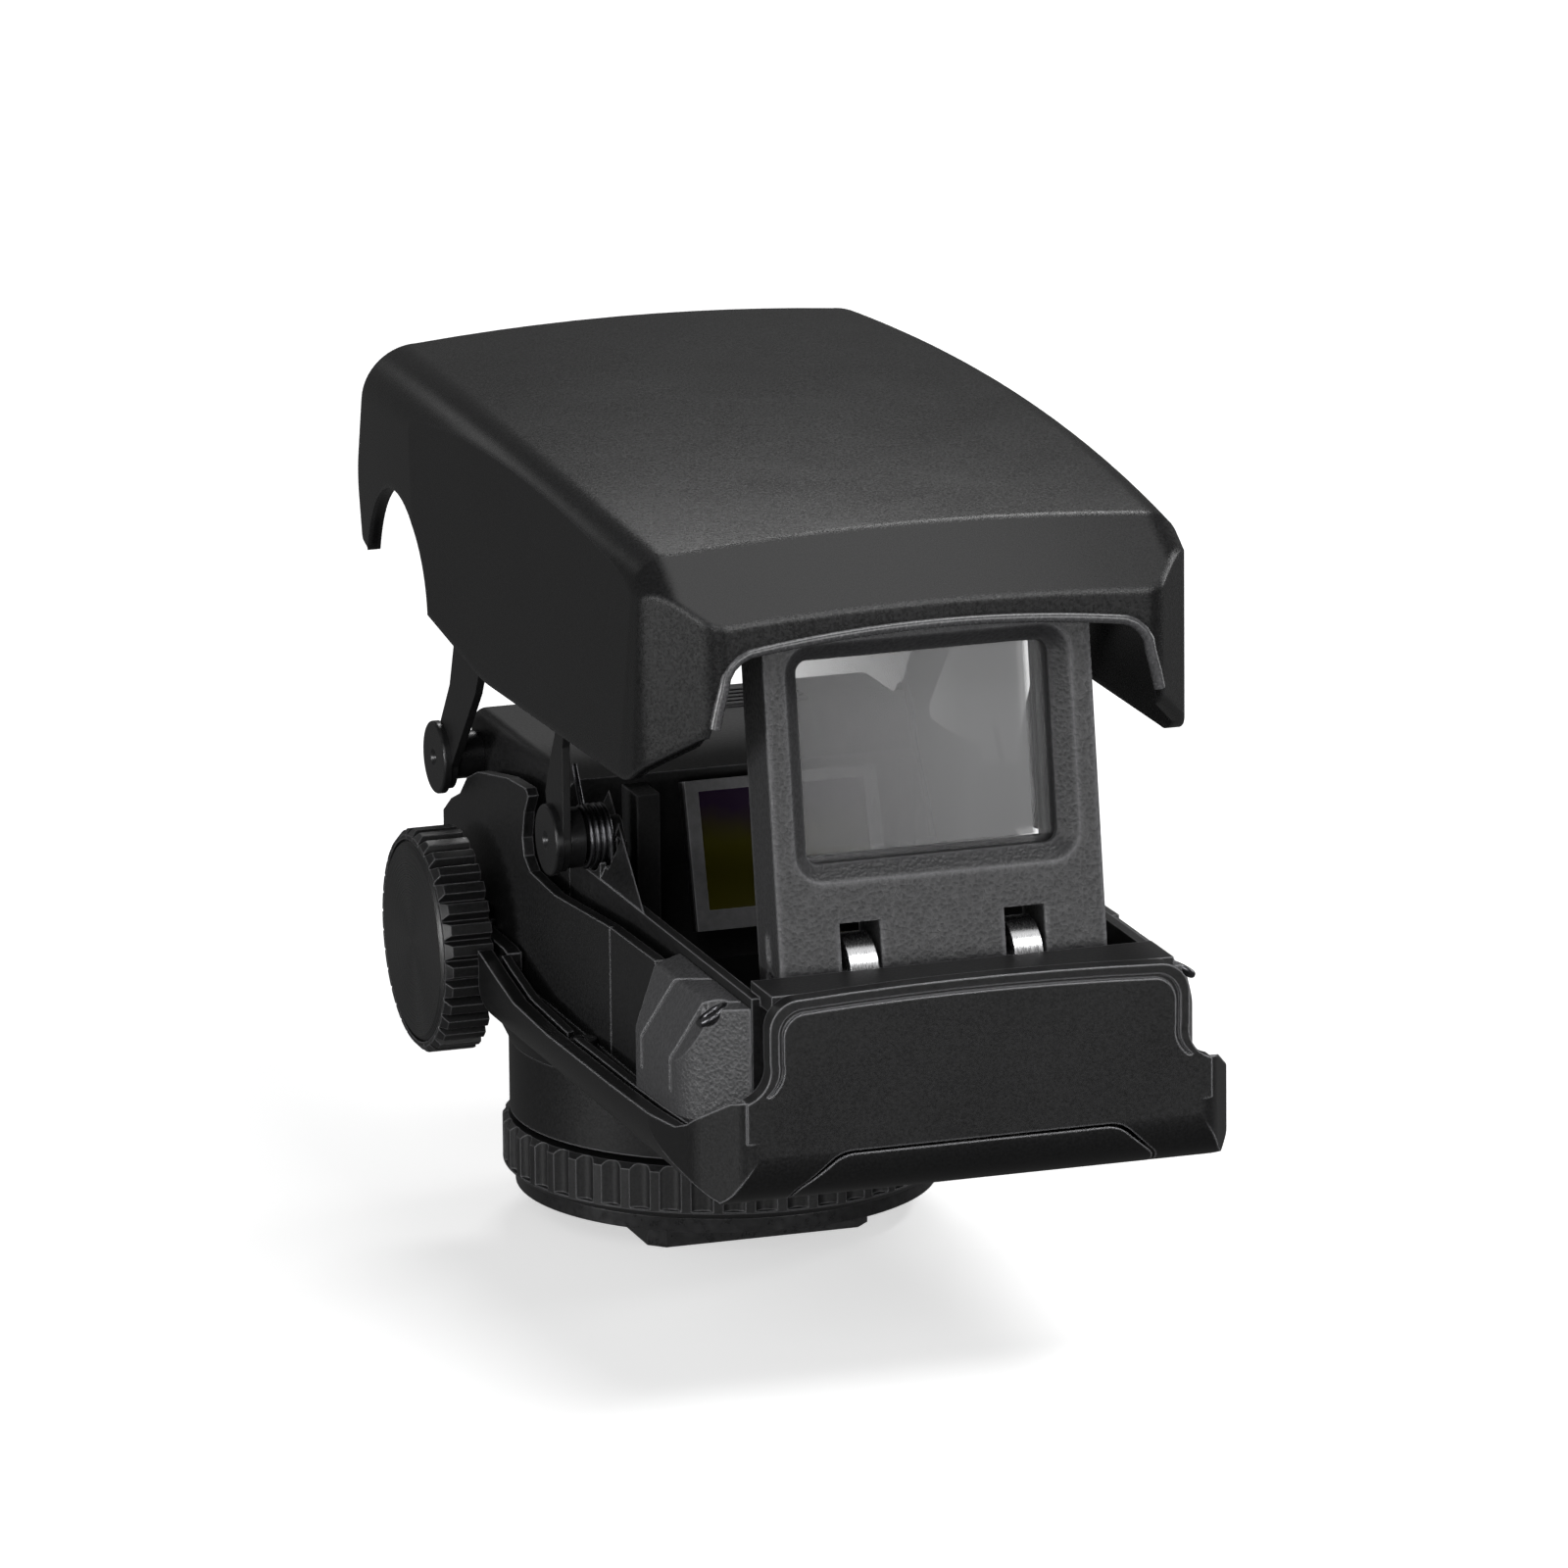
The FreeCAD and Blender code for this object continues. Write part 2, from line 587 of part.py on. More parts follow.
def gussets():
    """Slanted ribs between the well and the front pivots."""
    for side in ("left", "right"):
        low_front = Vector(16.9, -31.7, 34.2)
        top = Vector(14.2, -14.6, 39.8)
        low_rear = Vector(16.9, -14.6, 34.2)
        low_inner = Vector(13.8, -14.6, 34.2)
        faces = [(low_front, top, low_rear), (low_front, top, low_inner), (low_rear, top, low_inner),
                 (low_front, low_rear, low_inner)]
        shell = Part.Shell([Part.Face(Part.makePolygon(list(corners) + [corners[0]])) for corners in faces])
        rib = Part.makeSolid(shell)
        rib = rib.cut(box(10, 16.1, -40, D["housing_front"] - 4.6, 30, 34.4))
        coil_room = cylinder_x(15.7, 20.0, D["pivot_front_y"], D["pivot_front_z"], 2.75)
        leg_room = box(15.3, 16.4, D["pivot_front_y"] - 2.9, D["pivot_front_y"] - 1.8, 34.0, 37.4)
        post = cylinder_x(14.6, D["wall_outer"] + 0.3, D["pivot_front_y"], D["pivot_front_z"], 1.5)
        foot = box(14.6, 16.9, D["pivot_front_y"] - 2.2, -14.6, 34.2, 37.0)
        bore = cylinder_x(16.0, 20, D["pivot_front_y"], D["pivot_front_z"], 0.8)
        feature(f"gusset_{side}", side_shape(rib.fuse(foot).cut(coil_room).cut(leg_room).fuse(post).cut(bore), side))


BLOCK_SECTION = [(16.95, 22.4), (21.0, 22.4), (21.0, 27.9), (19.0, 32.8), (16.95, 33.4)]


def block_blank():
    """The right side block before its grooves: sloping top, nose swept round towards the front."""
    plan = [(16.95, -40.55, 0), (19.0, -40.55, 0), (21.0, -41.3, 0.6), (21.0, -52.4, 6.0), (16.95, -57.6, 0)]
    corners = [(x, z, 0.7 if x > 18 and z > 25 else 0) for x, z in BLOCK_SECTION]
    return soft_prism_y(corners, -57.6, -40.4).common(soft_prism_z(plan, D["ledge_top"], 34))


def side_blocks():
    """The sloping catch blocks beside the window's well, with their two slanted grooves."""
    ledge = D["ledge_top"]
    section = BLOCK_SECTION
    for side in ("left", "right"):
        block = block_blank()
        for inner_y, outer_y in ((-45.6, -42.6), (-52.6, -49.6)):
            line = prism_z([(16, inner_y - 4.5), (19.0, inner_y), (21.5, outer_y), (21.5, outer_y + 0.4),
                            (19.0, inner_y + 0.4), (16, inner_y - 4.1)], 20, 40)
            skin = prism_y([(x + 0.35, z + 0.35) for x, z in section[1:4]] + [(16, 40), (30, 40), (30, ledge)],
                           -58, -40)
            lowered = [(section[2][0] - 0.3, ledge + 3.0), (section[2][0] - 0.3, 27.8), (18.75, 32.55),
                       (16.0, 33.1), (16.0, 40), (30, 40), (30, ledge + 3.0)]
            block = block.cut(line.common(prism_y(lowered, -58, -40)).fuse(line.common(skin)))
        feature(f"side_block_{side}", side_shape(block.cut(block_pocket()), side))


def block_pocket():
    """The round pocket in a block's nose that a catch stands in."""
    return Part.makeSphere(1.5, Vector(19.2, -54.0, 32.9))


def catch_hooks():
    """Small bright catches that hold the shut cover, one in each block's pocket."""
    hooks = []
    for side in ("left", "right"):
        ring = Part.makeTorus(1.15, 0.28, Vector(18.9, -54.0, 32.2), Vector(0.5, 0.2, 0.8))
        hooks.append(side_shape(ring.common(box(16.95, 20.0, -56.0, -52.0, 31.4, 34.5)).cut(block_blank().cut(block_pocket())), side))
    feature("catch_hooks", Part.makeCompound(hooks))


def rear_housing():
    """The closed box behind the emitter that holds the switch and the adjusting screws."""
    half = 16.9
    front = D["housing_front"]
    rear = D["housing_rear"]
    low = D["ledge_top"]
    top = D["housing_top"]
    body = box(-half, half, front, rear, low, top)
    body = rounded(body, 2.2, lambda edge: along(edge, X_AXIS) and edge.BoundBox.ZMin > top - 1
                   and edge.BoundBox.YMin > rear - 1)
    body = rounded(body, 1.0, lambda edge: along(edge, Y_AXIS) and edge.BoundBox.ZMin > top - 1)
    body = body.cut(box(-half + 1.3, half - 1.3, front + 1.1, rear - 1.3, low - 1, top - 1.3))
    body = body.cut(box(-3.2, 3.2, front - 1, front + 2, 30.0, 37.0))
    body = body.cut(cylinder_y(0, rear - 2, rear + 1, WINDAGE_Z, 1.3))
    for side in ("left", "right"):
        bores = cylinder_x(half - 2, half + 1, D["dial_y"], D["dial_z"], 1.8)
        bores = bores.fuse(cylinder_x(half - 2, half + 1, D["pivot_rear_y"], D["pivot_rear_z"], 0.8))
        body = body.cut(side_shape(bores, side))
    rib_count = 5
    for number in range(rib_count):
        y = 9.6 - number * 1.1
        body = body.fuse(box(-9, 9, y - 0.25, y + 0.25, top - 0.1, top + 0.3))
    feature("rear_housing", body)


WINDAGE_Z = 31.0


# ---- lifting linkage ----

def open_tip(pivot_y, pivot_z):
    angle = math.radians(D["arm_angle"])
    return pivot_y + D["arm_length"] * math.cos(angle), pivot_z + D["arm_length"] * math.sin(angle)


def arm(label, side, pivot_y, pivot_z, lug, edge_points):
    """A pressed arm: a lug at each pivot, joined by a flat web with its own outline."""
    inner = D["arm_inner"]
    outer = inner + D["arm_thick"]
    tip_y, tip_z = open_tip(pivot_y, pivot_z)
    web = prism_x([(pivot_y + y, pivot_z + z) for y, z in edge_points], inner, outer)
    plate = web.fuse(cylinder_x(inner, outer, pivot_y, pivot_z, lug))
    plate = plate.fuse(cylinder_x(inner, outer, tip_y, tip_z, 2.0))
    bore = cylinder_x(inner - 1, outer + 1, pivot_y, pivot_z, 1.05)
    upper_bore = cylinder_x(inner - 1, outer + 1, tip_y, tip_z, 0.9)
    feature(label, side_shape(plate.cut(bore).cut(upper_bore), side))


def arms():
    rear_web = [(2.45, 0.6), (0.3, 2.6), (-2.6, 6.6), (-5.6, 15.0), (-6.7, 19.0), (-10.2, 19.0), (-12.4, 14.5),
                (-11.2, 10.6), (-9.4, 7.4), (-2.5, -0.4)]
    front_web = [(2.5, 0.5), (1.6, 2.6), (1.9, 3.4), (0.2, 7.0), (-4.4, 15.0), (-6.6, 18.6), (-10.3, 18.6),
                 (-8.9, 15.2), (-3.0, 9.4), (-2.55, 8.0), (-2.55, 0.0)]
    for side in ("left", "right"):
        arm(f"rear_arm_{side}", side, D["pivot_rear_y"], D["pivot_rear_z"], 2.6, rear_web)
        arm(f"front_arm_{side}", side, D["pivot_front_y"], D["pivot_front_z"], 2.6, front_web)


def pivot_screw(x_root, y, z, radius):
    """A ground pivot: low domed head outside the arm, shoulder in the arm, thread in the chassis."""
    face = D["arm_inner"] + D["arm_thick"]
    head = cylinder_x(face, face + 0.65, y, z, radius)
    head = rounded(head, 0.22, lambda edge: edge.BoundBox.XMin > face + 0.5)
    socket = Part.makeCone(0.15, 0.75, 0.45, Vector(face + 0.2, y, z), X_AXIS)
    shoulder = cylinder_x(D["wall_outer"] + 0.3, face, y, z, 1.0)
    thread = cylinder_x(x_root, D["wall_outer"] + 0.3, y, z, 0.8)
    return head.cut(socket).fuse(shoulder).fuse(thread)


def pivots():
    rear = pivot_screw(15.0, D["pivot_rear_y"], D["pivot_rear_z"], 2.95)
    front = pivot_screw(16.0, D["pivot_front_y"], D["pivot_front_z"], 2.85)
    feature("rear_pivot_screws", Part.makeCompound([rear, mirrored(rear)]))
    feature("front_pivot_screws", Part.makeCompound([front, mirrored(front)]))


def pivot_bushes():
    """Spacers between the chassis and the arms at the ground pivots."""
    outer = D["arm_inner"] - 0.05
    wall = D["wall_outer"]
    rear = cylinder_x(wall, outer, D["pivot_rear_y"], D["pivot_rear_z"], 1.9)
    rear = rear.fuse(cylinder_x(16.9, wall, D["pivot_rear_y"], D["pivot_rear_z"], 1.9))
    rear = rear.cut(cylinder_x(16, 20, D["pivot_rear_y"], D["pivot_rear_z"], 1.0))
    feature("rear_pivot_bushes", Part.makeCompound([rear, mirrored(rear)]))
    front = cylinder_x(18.0, outer - 0.05, D["pivot_front_y"], D["pivot_front_z"], 2.4)
    front = front.cut(cylinder_x(17, 20, D["pivot_front_y"], D["pivot_front_z"], 1.5))
    feature("front_pivot_bushes", Part.makeCompound([front, mirrored(front)]))


def torsion_springs():
    """The lifting springs, wound round the front pivots, as a sleeve of four closed turns with two legs."""
    y = D["pivot_front_y"]
    z = D["pivot_front_z"]
    turns = 4
    pitch = 0.5
    wire = 0.23
    mean = 2.35
    for side in ("left", "right"):
        coil = None
        for turn in range(turns):
            ring = Part.makeTorus(mean, wire, Vector(16.0 + turn * pitch, y, z), X_AXIS)
            coil = ring if coil is None else coil.fuse(ring)
        spine = cylinder_x(16.0, 16.0 + (turns - 1) * pitch, y, z, mean + 0.08)
        spine = spine.cut(cylinder_x(15.9, 18.0, y, z, mean - 0.08))
        coil = coil.fuse(spine)
        last = 16.0 + (turns - 1) * pitch
        leg = Part.makeCylinder(wire, 3.5, Vector(last, y + 0.3, z + mean), Vector(0, 0.55, 0.83))
        foot = Part.makeCylinder(wire, 2.6, Vector(16.0, y - mean, z), Vector(-0.1, 0, -1))
        feature(f"torsion_spring_{side}", side_shape(coil.fuse(leg).fuse(foot), side))


# ---- top cover ----

COVER_FRONT = -52.9
ROOF_AT_CREASE = 66.35
ROOF_SLOPE = 0.0233
FOREHEAD_SLOPE = 0.60


COVER_SPAN = (-45.5, 23.0)
COVER_BULGE = 1.15
ROOF_BULGE = 1.2


def bulge(y):
    """1 half way along the cover, 0 at its crease and at its rear edge."""
    crease, rear = COVER_SPAN
    middle = (crease + rear) / 2
    return 1.0 - ((y - middle) / (rear - middle)) ** 2


def cover_section(y, inset, top, widen, depth, lean, shoulder):
    """The cover's cross-section at y: leaning sides, round shoulders, crowned top."""
    half = D["cover_half"] - inset + widen
    top_half = D["cover_top"] - inset + widen
    radius = shoulder - inset * 0.7
    edge_x = top_half - radius
    crown = 0.85
    rounding = radius * 0.293
    right = [Vector(half + lean, y, top - depth), Vector(top_half, y, top - radius),
             Vector(top_half - rounding, y, top - rounding), Vector(edge_x, y, top)]
    left = [Vector(-point.x, point.y, point.z) for point in right]
    edges = [Part.LineSegment(left[0], right[0]),
             Part.LineSegment(right[0], right[1]),
             Part.Arc(right[1], right[2], right[3]),
             Part.Arc(right[3], Vector(0, y, top + crown), left[3]),
             Part.Arc(left[3], left[2], left[1]),
             Part.LineSegment(left[1], left[0])]
    return Part.Wire([edge.toShape() for edge in edges])


def forehead_bar(inset, top, slope):
    """The straight bar that slopes the cover's forehead down from its crease."""
    start = -70.0
    drop = inset * math.sqrt(1 + slope ** 2)
    low = top - drop + (start - COVER_SPAN[0]) * slope
    section = Part.Face(cover_section(start, inset, low, 0.0, 150.0, 3.0, 3.0))
    length = 130.0
    return section.extrude(Vector(0, length, length * slope))


def cover_solid(inset):
    """The cover as a full solid, shrunk by inset on its outer faces and open at the rear."""
    stations = [-62.0, -45.5, -28.0, -11.0, 6.0, 23.0, 32.0]
    sections = []
    for y in stations:
        swell = bulge(y)
        top = ROOF_AT_CREASE + (y - COVER_SPAN[0]) * ROOF_SLOPE + ROOF_BULGE * swell - inset
        shoulder = 3.0 + 0.02 * (y - COVER_SPAN[0])
        sections.append(cover_section(y, inset, top, COVER_BULGE * swell, 40.0, 0.15, shoulder))
    roof = Part.makeLoft(sections, True, False)
    half = D["cover_half"] - inset + COVER_BULGE
    front = COVER_FRONT + inset
    shift = inset * 0.5
    plan = [(17.9 - shift, front, 2.2), (22.0 - shift, front + 5.6, 3.4), (half + 0.5, front + 14.0, 8.0),
            (half + 0.5, 45.0, 0)]
    bar = forehead_bar(inset, ROOF_AT_CREASE, FOREHEAD_SLOPE)
    return roof.common(bar).common(soft_prism_z(soft_halves(plan), 30, 90))


def cover_trim():
    """What is left of the cover seen from the side: lower edge, dial cut-out, hook and rear edge."""
    outline = [(COVER_FRONT - 1, 80, 0), (COVER_FRONT - 1, 53.9, 0), (-51.6, 53.2, 1.5), (-44.8, 48.6, 4.0),
               (-10.0, 48.3, 20.0), (5.4, 50.6, 4.0), (22.2, 50.6, 0), (22.9, 51.6, 0), (24.6, 51.9, 0.8),
               (26.4, 57.0, 6.0), (23.6, 68.5, 8.0), (23.0, 80, 0)]
    trim = soft_prism_x(outline, -30, 30)
    closed_y, closed_z = closing_move()
    return trim.cut(cylinder_x(-30, 30, D["dial_y"] - closed_y, D["dial_z"] - closed_z + 0.2, D["dial_room"]))


def closing_move():
    """How far the cover travels, along Y and Z, from open to shut."""
    open_angle = math.radians(D["arm_angle"])
    shut_angle = math.radians(D["arm_angle"] + ARM_TRAVEL)
    length = D["arm_length"]
    return (length * (math.cos(shut_angle) - math.cos(open_angle)),
            length * (math.sin(shut_angle) - math.sin(open_angle)))


ARM_TRAVEL = 83.9


def arch_opening():
    """The window's arch through the cover's front wall."""
    right = [Vector(18.9, -60, 45.0), Vector(18.4, -60, 53.0), Vector(17.2, -60, 57.4), Vector(16.4, -60, 59.3),
             Vector(14.2, -60, 60.1)]
    left = [Vector(-point.x, point.y, point.z) for point in right]
    edges = [Part.LineSegment(left[0], right[0]),
             Part.LineSegment(right[0], right[1]),
             Part.LineSegment(right[1], right[2]),
             Part.Arc(right[2], right[3], right[4]),
             Part.Arc(right[4], Vector(0, -60, 61.1), left[4]),
             Part.Arc(left[4], left[3], left[2]),
             Part.LineSegment(left[2], left[1]),
             Part.LineSegment(left[1], left[0])]
    return Part.Face(Part.Wire([edge.toShape() for edge in edges])).extrude(Vector(0, 11.0, 0))


def top_cover():
    shell = cover_solid(0).cut(cover_solid(D["cover_wall"]))
    shell = shell.common(cover_trim()).cut(arch_opening())
    boss_face = D["arm_inner"] + D["arm_thick"] + 0.25
    inside = cover_solid(D["cover_wall"] - 0.2)
    for pivot in ("rear", "front"):
        y, z = open_tip(D[f"pivot_{pivot}_y"], D[f"pivot_{pivot}_z"])
        boss = cylinder_x(boss_face, 24, y, z, 2.1).common(inside)
        boss = boss.cut(cylinder_x(boss_face - 1, boss_face + 0.7, y, z, 0.85))
        shell = shell.fuse(boss).fuse(mirrored(boss))
    rib_count = 3
    for number in range(rib_count):
        y = -30.0 + number * 18.0
        rib = box(-22, 22, y, y + 0.9, 63.0, 72).common(cover_solid(D["cover_wall"] - 0.1))
        shell = shell.fuse(rib.cut(box(-30, 30, y - 1, y + 2, 50, 65.5 + bulge(y) * ROOF_BULGE)))
    feature("top_cover", shell)


def upper_pins():
    """Pins in the cover's bosses that the arms turn on."""
    pins = []
    for pivot in ("rear", "front"):
        y, z = open_tip(D[f"pivot_{pivot}_y"], D[f"pivot_{pivot}_z"])
        boss_face = D["arm_inner"] + D["arm_thick"] + 0.25
        pin = cylinder_x(D["arm_inner"], boss_face + 0.7, y, z, 0.85)
        pins.append(pin)
        pins.append(mirrored(pin))
    feature("upper_pins", Part.makeCompound(pins))


# ---- window ----

def window_place():
    """The window's own frame: origin on its hinge, Z up along its leaning face."""
    return Placement(Vector(0, D["hinge_y"], D["hinge_z"]), Rotation(X_AXIS, -D["frame_lean"]))


def leaning(shape):
    """A shape drawn upright on the hinge, leaned back into place."""
    moved = shape.copy()
    moved.Placement = window_place().multiply(moved.Placement)
    return moved


def window_frame():
    body = new_body("window_frame")
    half = D["frame_half"]
    high = D["frame_high"]
    foot = -1.6
    outline = [(half, foot), (half, high - 0.7), (half - 0.7, high), (-half + 0.7, high), (-half, high - 0.7),
               (-half, foot), (-8.3, foot), (-8.3, 4.4), (-5.0, 4.4), (-5.0, foot), (5.0, foot), (5.0, 4.4),
               (8.3, 4.4), (8.3, foot)]
    blank = sketch_on(body, "XZ_Plane", "Blank", "-Dims.frame_deep / 2")
    draw_polygon(blank, outline)
    pad(body, blank, "BlankPad", "Dims.frame_deep")
    opening = sketch_on(body, "XZ_Plane", "Opening", "Dims.frame_deep / 2")
    draw_polygon(opening, [(-10.2, 8.9), (10.2, 8.9), (10.2, 24.6), (-10.2, 24.6)])
    pocket(body, opening, "OpeningPocket", "Dims.frame_deep")
    doc.recompute()
    dress(body, "Fillet", "OpeningCorners", 1.0, lambda edge: along(edge, Y_AXIS)
          and abs(abs(edge.BoundBox.Center.x) - 10.2) < 0.01)
    dress(body, "Chamfer", "OpeningBevel", 1.35, lambda edge: edge.BoundBox.YMax < 0.01 - D["frame_deep"] / 2
          and 8.8 < edge.BoundBox.ZMin and edge.BoundBox.ZMax < 24.7)
    rebate = sketch_on(body, "XZ_Plane", "Rebate", "-Dims.frame_deep / 2")
    draw_polygon(rebate, [(-11.0, 8.1), (11.0, 8.1), (11.0, 25.4), (-11.0, 25.4)])
    pocket(body, rebate, "RebatePocket", "3.2", backwards=True)
    spring_room = sketch_on(body, "XZ_Plane", "SpringRoom", "-Dims.frame_deep / 2")
    draw_polygon(spring_room, [(-3.2, foot - 1), (3.2, foot - 1), (3.2, 1.9), (-3.2, 1.9)])
    pocket(body, spring_room, "SpringRoomPocket", "4.4", backwards=True)
    bore = sketch_on(body, "YZ_Plane", "Bore", "-Dims.frame_half")
    draw_circle(bore, (0, 0), "0.86")
    pocket(body, bore, "BorePocket", "Dims.frame_half * 2", backwards=True)
    tabs = sketch_on(body, "XZ_Plane", "Tabs", "Dims.frame_deep / 2")
    for side in (-1, 1):
        draw_polygon(tabs, [(side * 2.56, high - 0.9), (side * 3.66, high - 0.9), (side * 3.66, high - 0.1),
                            (side * 2.56, high - 0.1)])
    pad(body, tabs, "TabsPad", "0.35")
    slot = sketch_on(body, "YZ_Plane", "SideSlot", "-Dims.frame_half")
    draw_polygon(slot, [(-0.4, 1.6), (0.4, 1.6), (0.4, 3.6), (-0.4, 3.6)])
    pocket(body, slot, "SideSlotPocket", "0.6", backwards=True)
    body.Placement = window_place()


def window_glass():
    glass = box(-10.9, 10.9, -0.5, 1.1, 8.2, 25.3)
    feature("combiner_glass", leaning(glass))
    retainer = box(-11.0, 11.0, 1.1, 2.4, 8.1, 25.4).cut(box(-9.9, 9.9, 1.0, 2.5, 9.2, 24.3))
    feature("glass_retainer", leaning(retainer))


def window_hinge():
    y = D["hinge_y"]
    z = D["hinge_z"]
    rod("window_hinge_pin", "0.8", "Dims.frame_half * 2 - 0.4", (0.2 - D["frame_half"], y, z), (1, 0, 0))
    ears = []
    for x0, x1 in ((-7.8, -5.5), (5.5, 7.8)):
        ear = cylinder_x(x0, x1, y, z, 3.4).fuse(box(x0, x1, -56.7, y + 1.0, z - 6.0, z - 0.4))
        ears.append(ear.cut(cylinder_x(x0 - 1, x1 + 1, y, z, 0.8)))
    feature("window_hinge_ears", Part.makeCompound(ears))
    coil = Part.makeTorus(1.35, 0.22, Vector(-2.0, y, z), X_AXIS)
    turns = 8
    for turn in range(1, turns):
        coil = coil.fuse(Part.makeTorus(1.35, 0.22, Vector(-2.0 + turn * 0.5, y, z), X_AXIS))
    sleeve = cylinder_x(-2.0, 1.5, y, z, 1.42).cut(cylinder_x(-2.1, 1.6, y, z, 1.28))
    feature("window_spring", coil.fuse(sleeve))


# ---- emitter ----

EMITTER_TILT = 15.5
EMITTER_FOOT = (-17.8, 28.4)


def tilted(shape):
    """A shape drawn upright at the emitter's lower front edge, leaned back into place."""
    moved = shape.copy()
    place = Placement(Vector(0, EMITTER_FOOT[0], EMITTER_FOOT[1]), Rotation(X_AXIS, -EMITTER_TILT))
    moved.Placement = place.multiply(moved.Placement)
    return moved


def emitter():
    high = 11.9
    block = box(-8.0, 8.0, 0.5, 1.5, 0, high).cut(box(-1.2, 1.2, 0.4, 1.0, 5.0, 7.4))
    chip = tilted(box(-0.8, 0.8, 0.5, 1.0, 5.4, 7.0))
    block = tilted(block).fuse(box(-2.0, 2.0, -15.6, -13.9, 32.5, 34.5))
    feature("emitter_block", block.cut(chip))
    feature("led_chip", chip)
    bezel = box(-8.0, 8.0, 0, 0.5, 0, high).cut(box(-6.9, 6.9, -0.1, 0.6, 1.6, high - 0.9))
    feature("emitter_bezel", tilted(bezel))
    feature("emitter_glass", tilted(box(-6.9, 6.9, 0.12, 0.5, 1.6, high - 0.9)))
    carriage = box(-6.0, 6.0, -10.8, -7.0, 30.4, 36.2).fuse(box(-2.6, 2.6, -13.6, -10.8, 31.2, 36.0))
    feature("elevation_carriage", carriage)
    posts = []
    for x0, x1 in ((-12.5, -10.6), (10.6, 12.5)):
        posts.append(box(x0, x1, -16.4, D["housing_front"], D["well_floor"], 39.6))
    feature("emitter_posts", Part.makeCompound(posts))


def electronics():
    low = D["ledge_top"]
    feature("circuit_board", box(-13.0, 13.0, -5.5, 11.5, 37.4, 38.2))
    feature("rotary_switch", box(-15.0, -9.5, -1.5, 7.5, low, 28.6).cut(
        cylinder_x(-16, -9, D["dial_y"], D["dial_z"], 1.2)))


# ---- dials and knobs ----

def turned_knob(label, radius, length, grips, groove_depth, groove_width, round_edge, recess=None):
    """A knob along its own Z axis: round blank, V grooves round it, softened rim, optional face recess."""
    body = new_body(label)
    blank = sketch_on(body, "XY_Plane", "Blank")
    draw_circle(blank, (0, 0), radius)
    pad(body, blank, "BlankPad", length)
    doc.recompute()
    high = body.Shape.BoundBox.ZMax
    wide = body.Shape.BoundBox.XMax
    dress(body, "Chamfer", "Rim", round_edge, lambda edge: edge.BoundBox.ZMin > high - 0.01)
    if recess:
        face = sketch_on(body, "XY_Plane", "Recess", length)
        draw_circle(face, (0, 0), recess)
        pocket(body, face, "RecessPocket", "0.5")
    groove = sketch_on(body, "XY_Plane", "Groove")
    half = groove_width / 2
    draw_polygon(groove, [(wide - groove_depth, 0), (wide + 0.3, half * 1.3), (wide + 0.3, -half * 1.3)])
    cut = pocket(body, groove, "GroovePocket", length, backwards=True)
    doc.recompute()
    polar_grips(body, cut, "Z_Axis", grips)
    return body


def brightness_dial():
    y = D["dial_y"]
    z = D["dial_z"]
    body = turned_knob("brightness_dial", "Dims.dial_radius", "Dims.dial_outer - Dims.dial_inner",
                       "Dims.dial_grips", 0.75, 0.95, 0.5, recess="8.15")
    body.Placement = Placement(Vector(-D["dial_inner"], y, z), Rotation(Z_AXIS, Vector(-1, 0, 0)))
    face = D["dial_outer"] - 0.5
    cap = cylinder_x(face, face + 0.35, y, z, 8.05).fuse(
        Part.makeCone(8.05, 7.6, 0.3, Vector(face + 0.35, y, z), X_AXIS))
    feature("dial_cap", mirrored(cap))
    hub = cylinder_x(D["wall_outer"] + 0.3, D["dial_inner"], y, z, 2.6)
    feature("dial_shaft", mirrored(hub.fuse(cylinder_x(10.5, D["wall_outer"] + 0.3, y, z, 1.15))))


def elevation_knob():
    y = D["dial_y"]
    z = D["dial_z"]
    body = turned_knob("elevation_knob", "Dims.knob_radius", "Dims.knob_outer - Dims.dial_inner",
                       "Dims.knob_grips", 0.32, 0.5, 0.9)
    body.Placement = Placement(Vector(D["dial_inner"], y, z), Rotation(Z_AXIS, Vector(1, 0, 0)))
    hub = cylinder_x(D["wall_outer"] + 0.3, D["dial_inner"], y, z, 2.6)
    feature("elevation_screw", hub.fuse(cylinder_x(9.0, D["wall_outer"] + 0.3, y, z, 1.15)))


def windage_knob():
    body = turned_knob("windage_knob", "5.0", "2.6", "40", 0.3, 0.45, 0.5)
    rear = D["housing_rear"]
    body.Placement = Placement(Vector(0, rear + 0.4, WINDAGE_Z), Rotation(Z_AXIS, Vector(0, 1, 0)))
    feature("windage_screw", cylinder_y(0, 2.0, rear + 0.4, WINDAGE_Z, 1.15))


def release_slider():
    """The ribbed slide at the rear that frees the cover."""
    rear = D["base_rear"]
    slide = box(-4.4, 4.4, rear - 1.5, rear + 0.5, 20.9, 23.1)
    slide = slide.fuse(box(-5.4, 5.4, rear - 2.1, rear - 1.5, 20.9, 23.1))
    rib_count = 5
    for number in range(rib_count):
        x = -3.2 + number * 1.6
        slide = slide.fuse(box(x - 0.3, x + 0.3, rear + 0.5, rear + 0.9, 20.9, 23.1))
    feature("release_slider", slide)


# ---- build, check and write ----

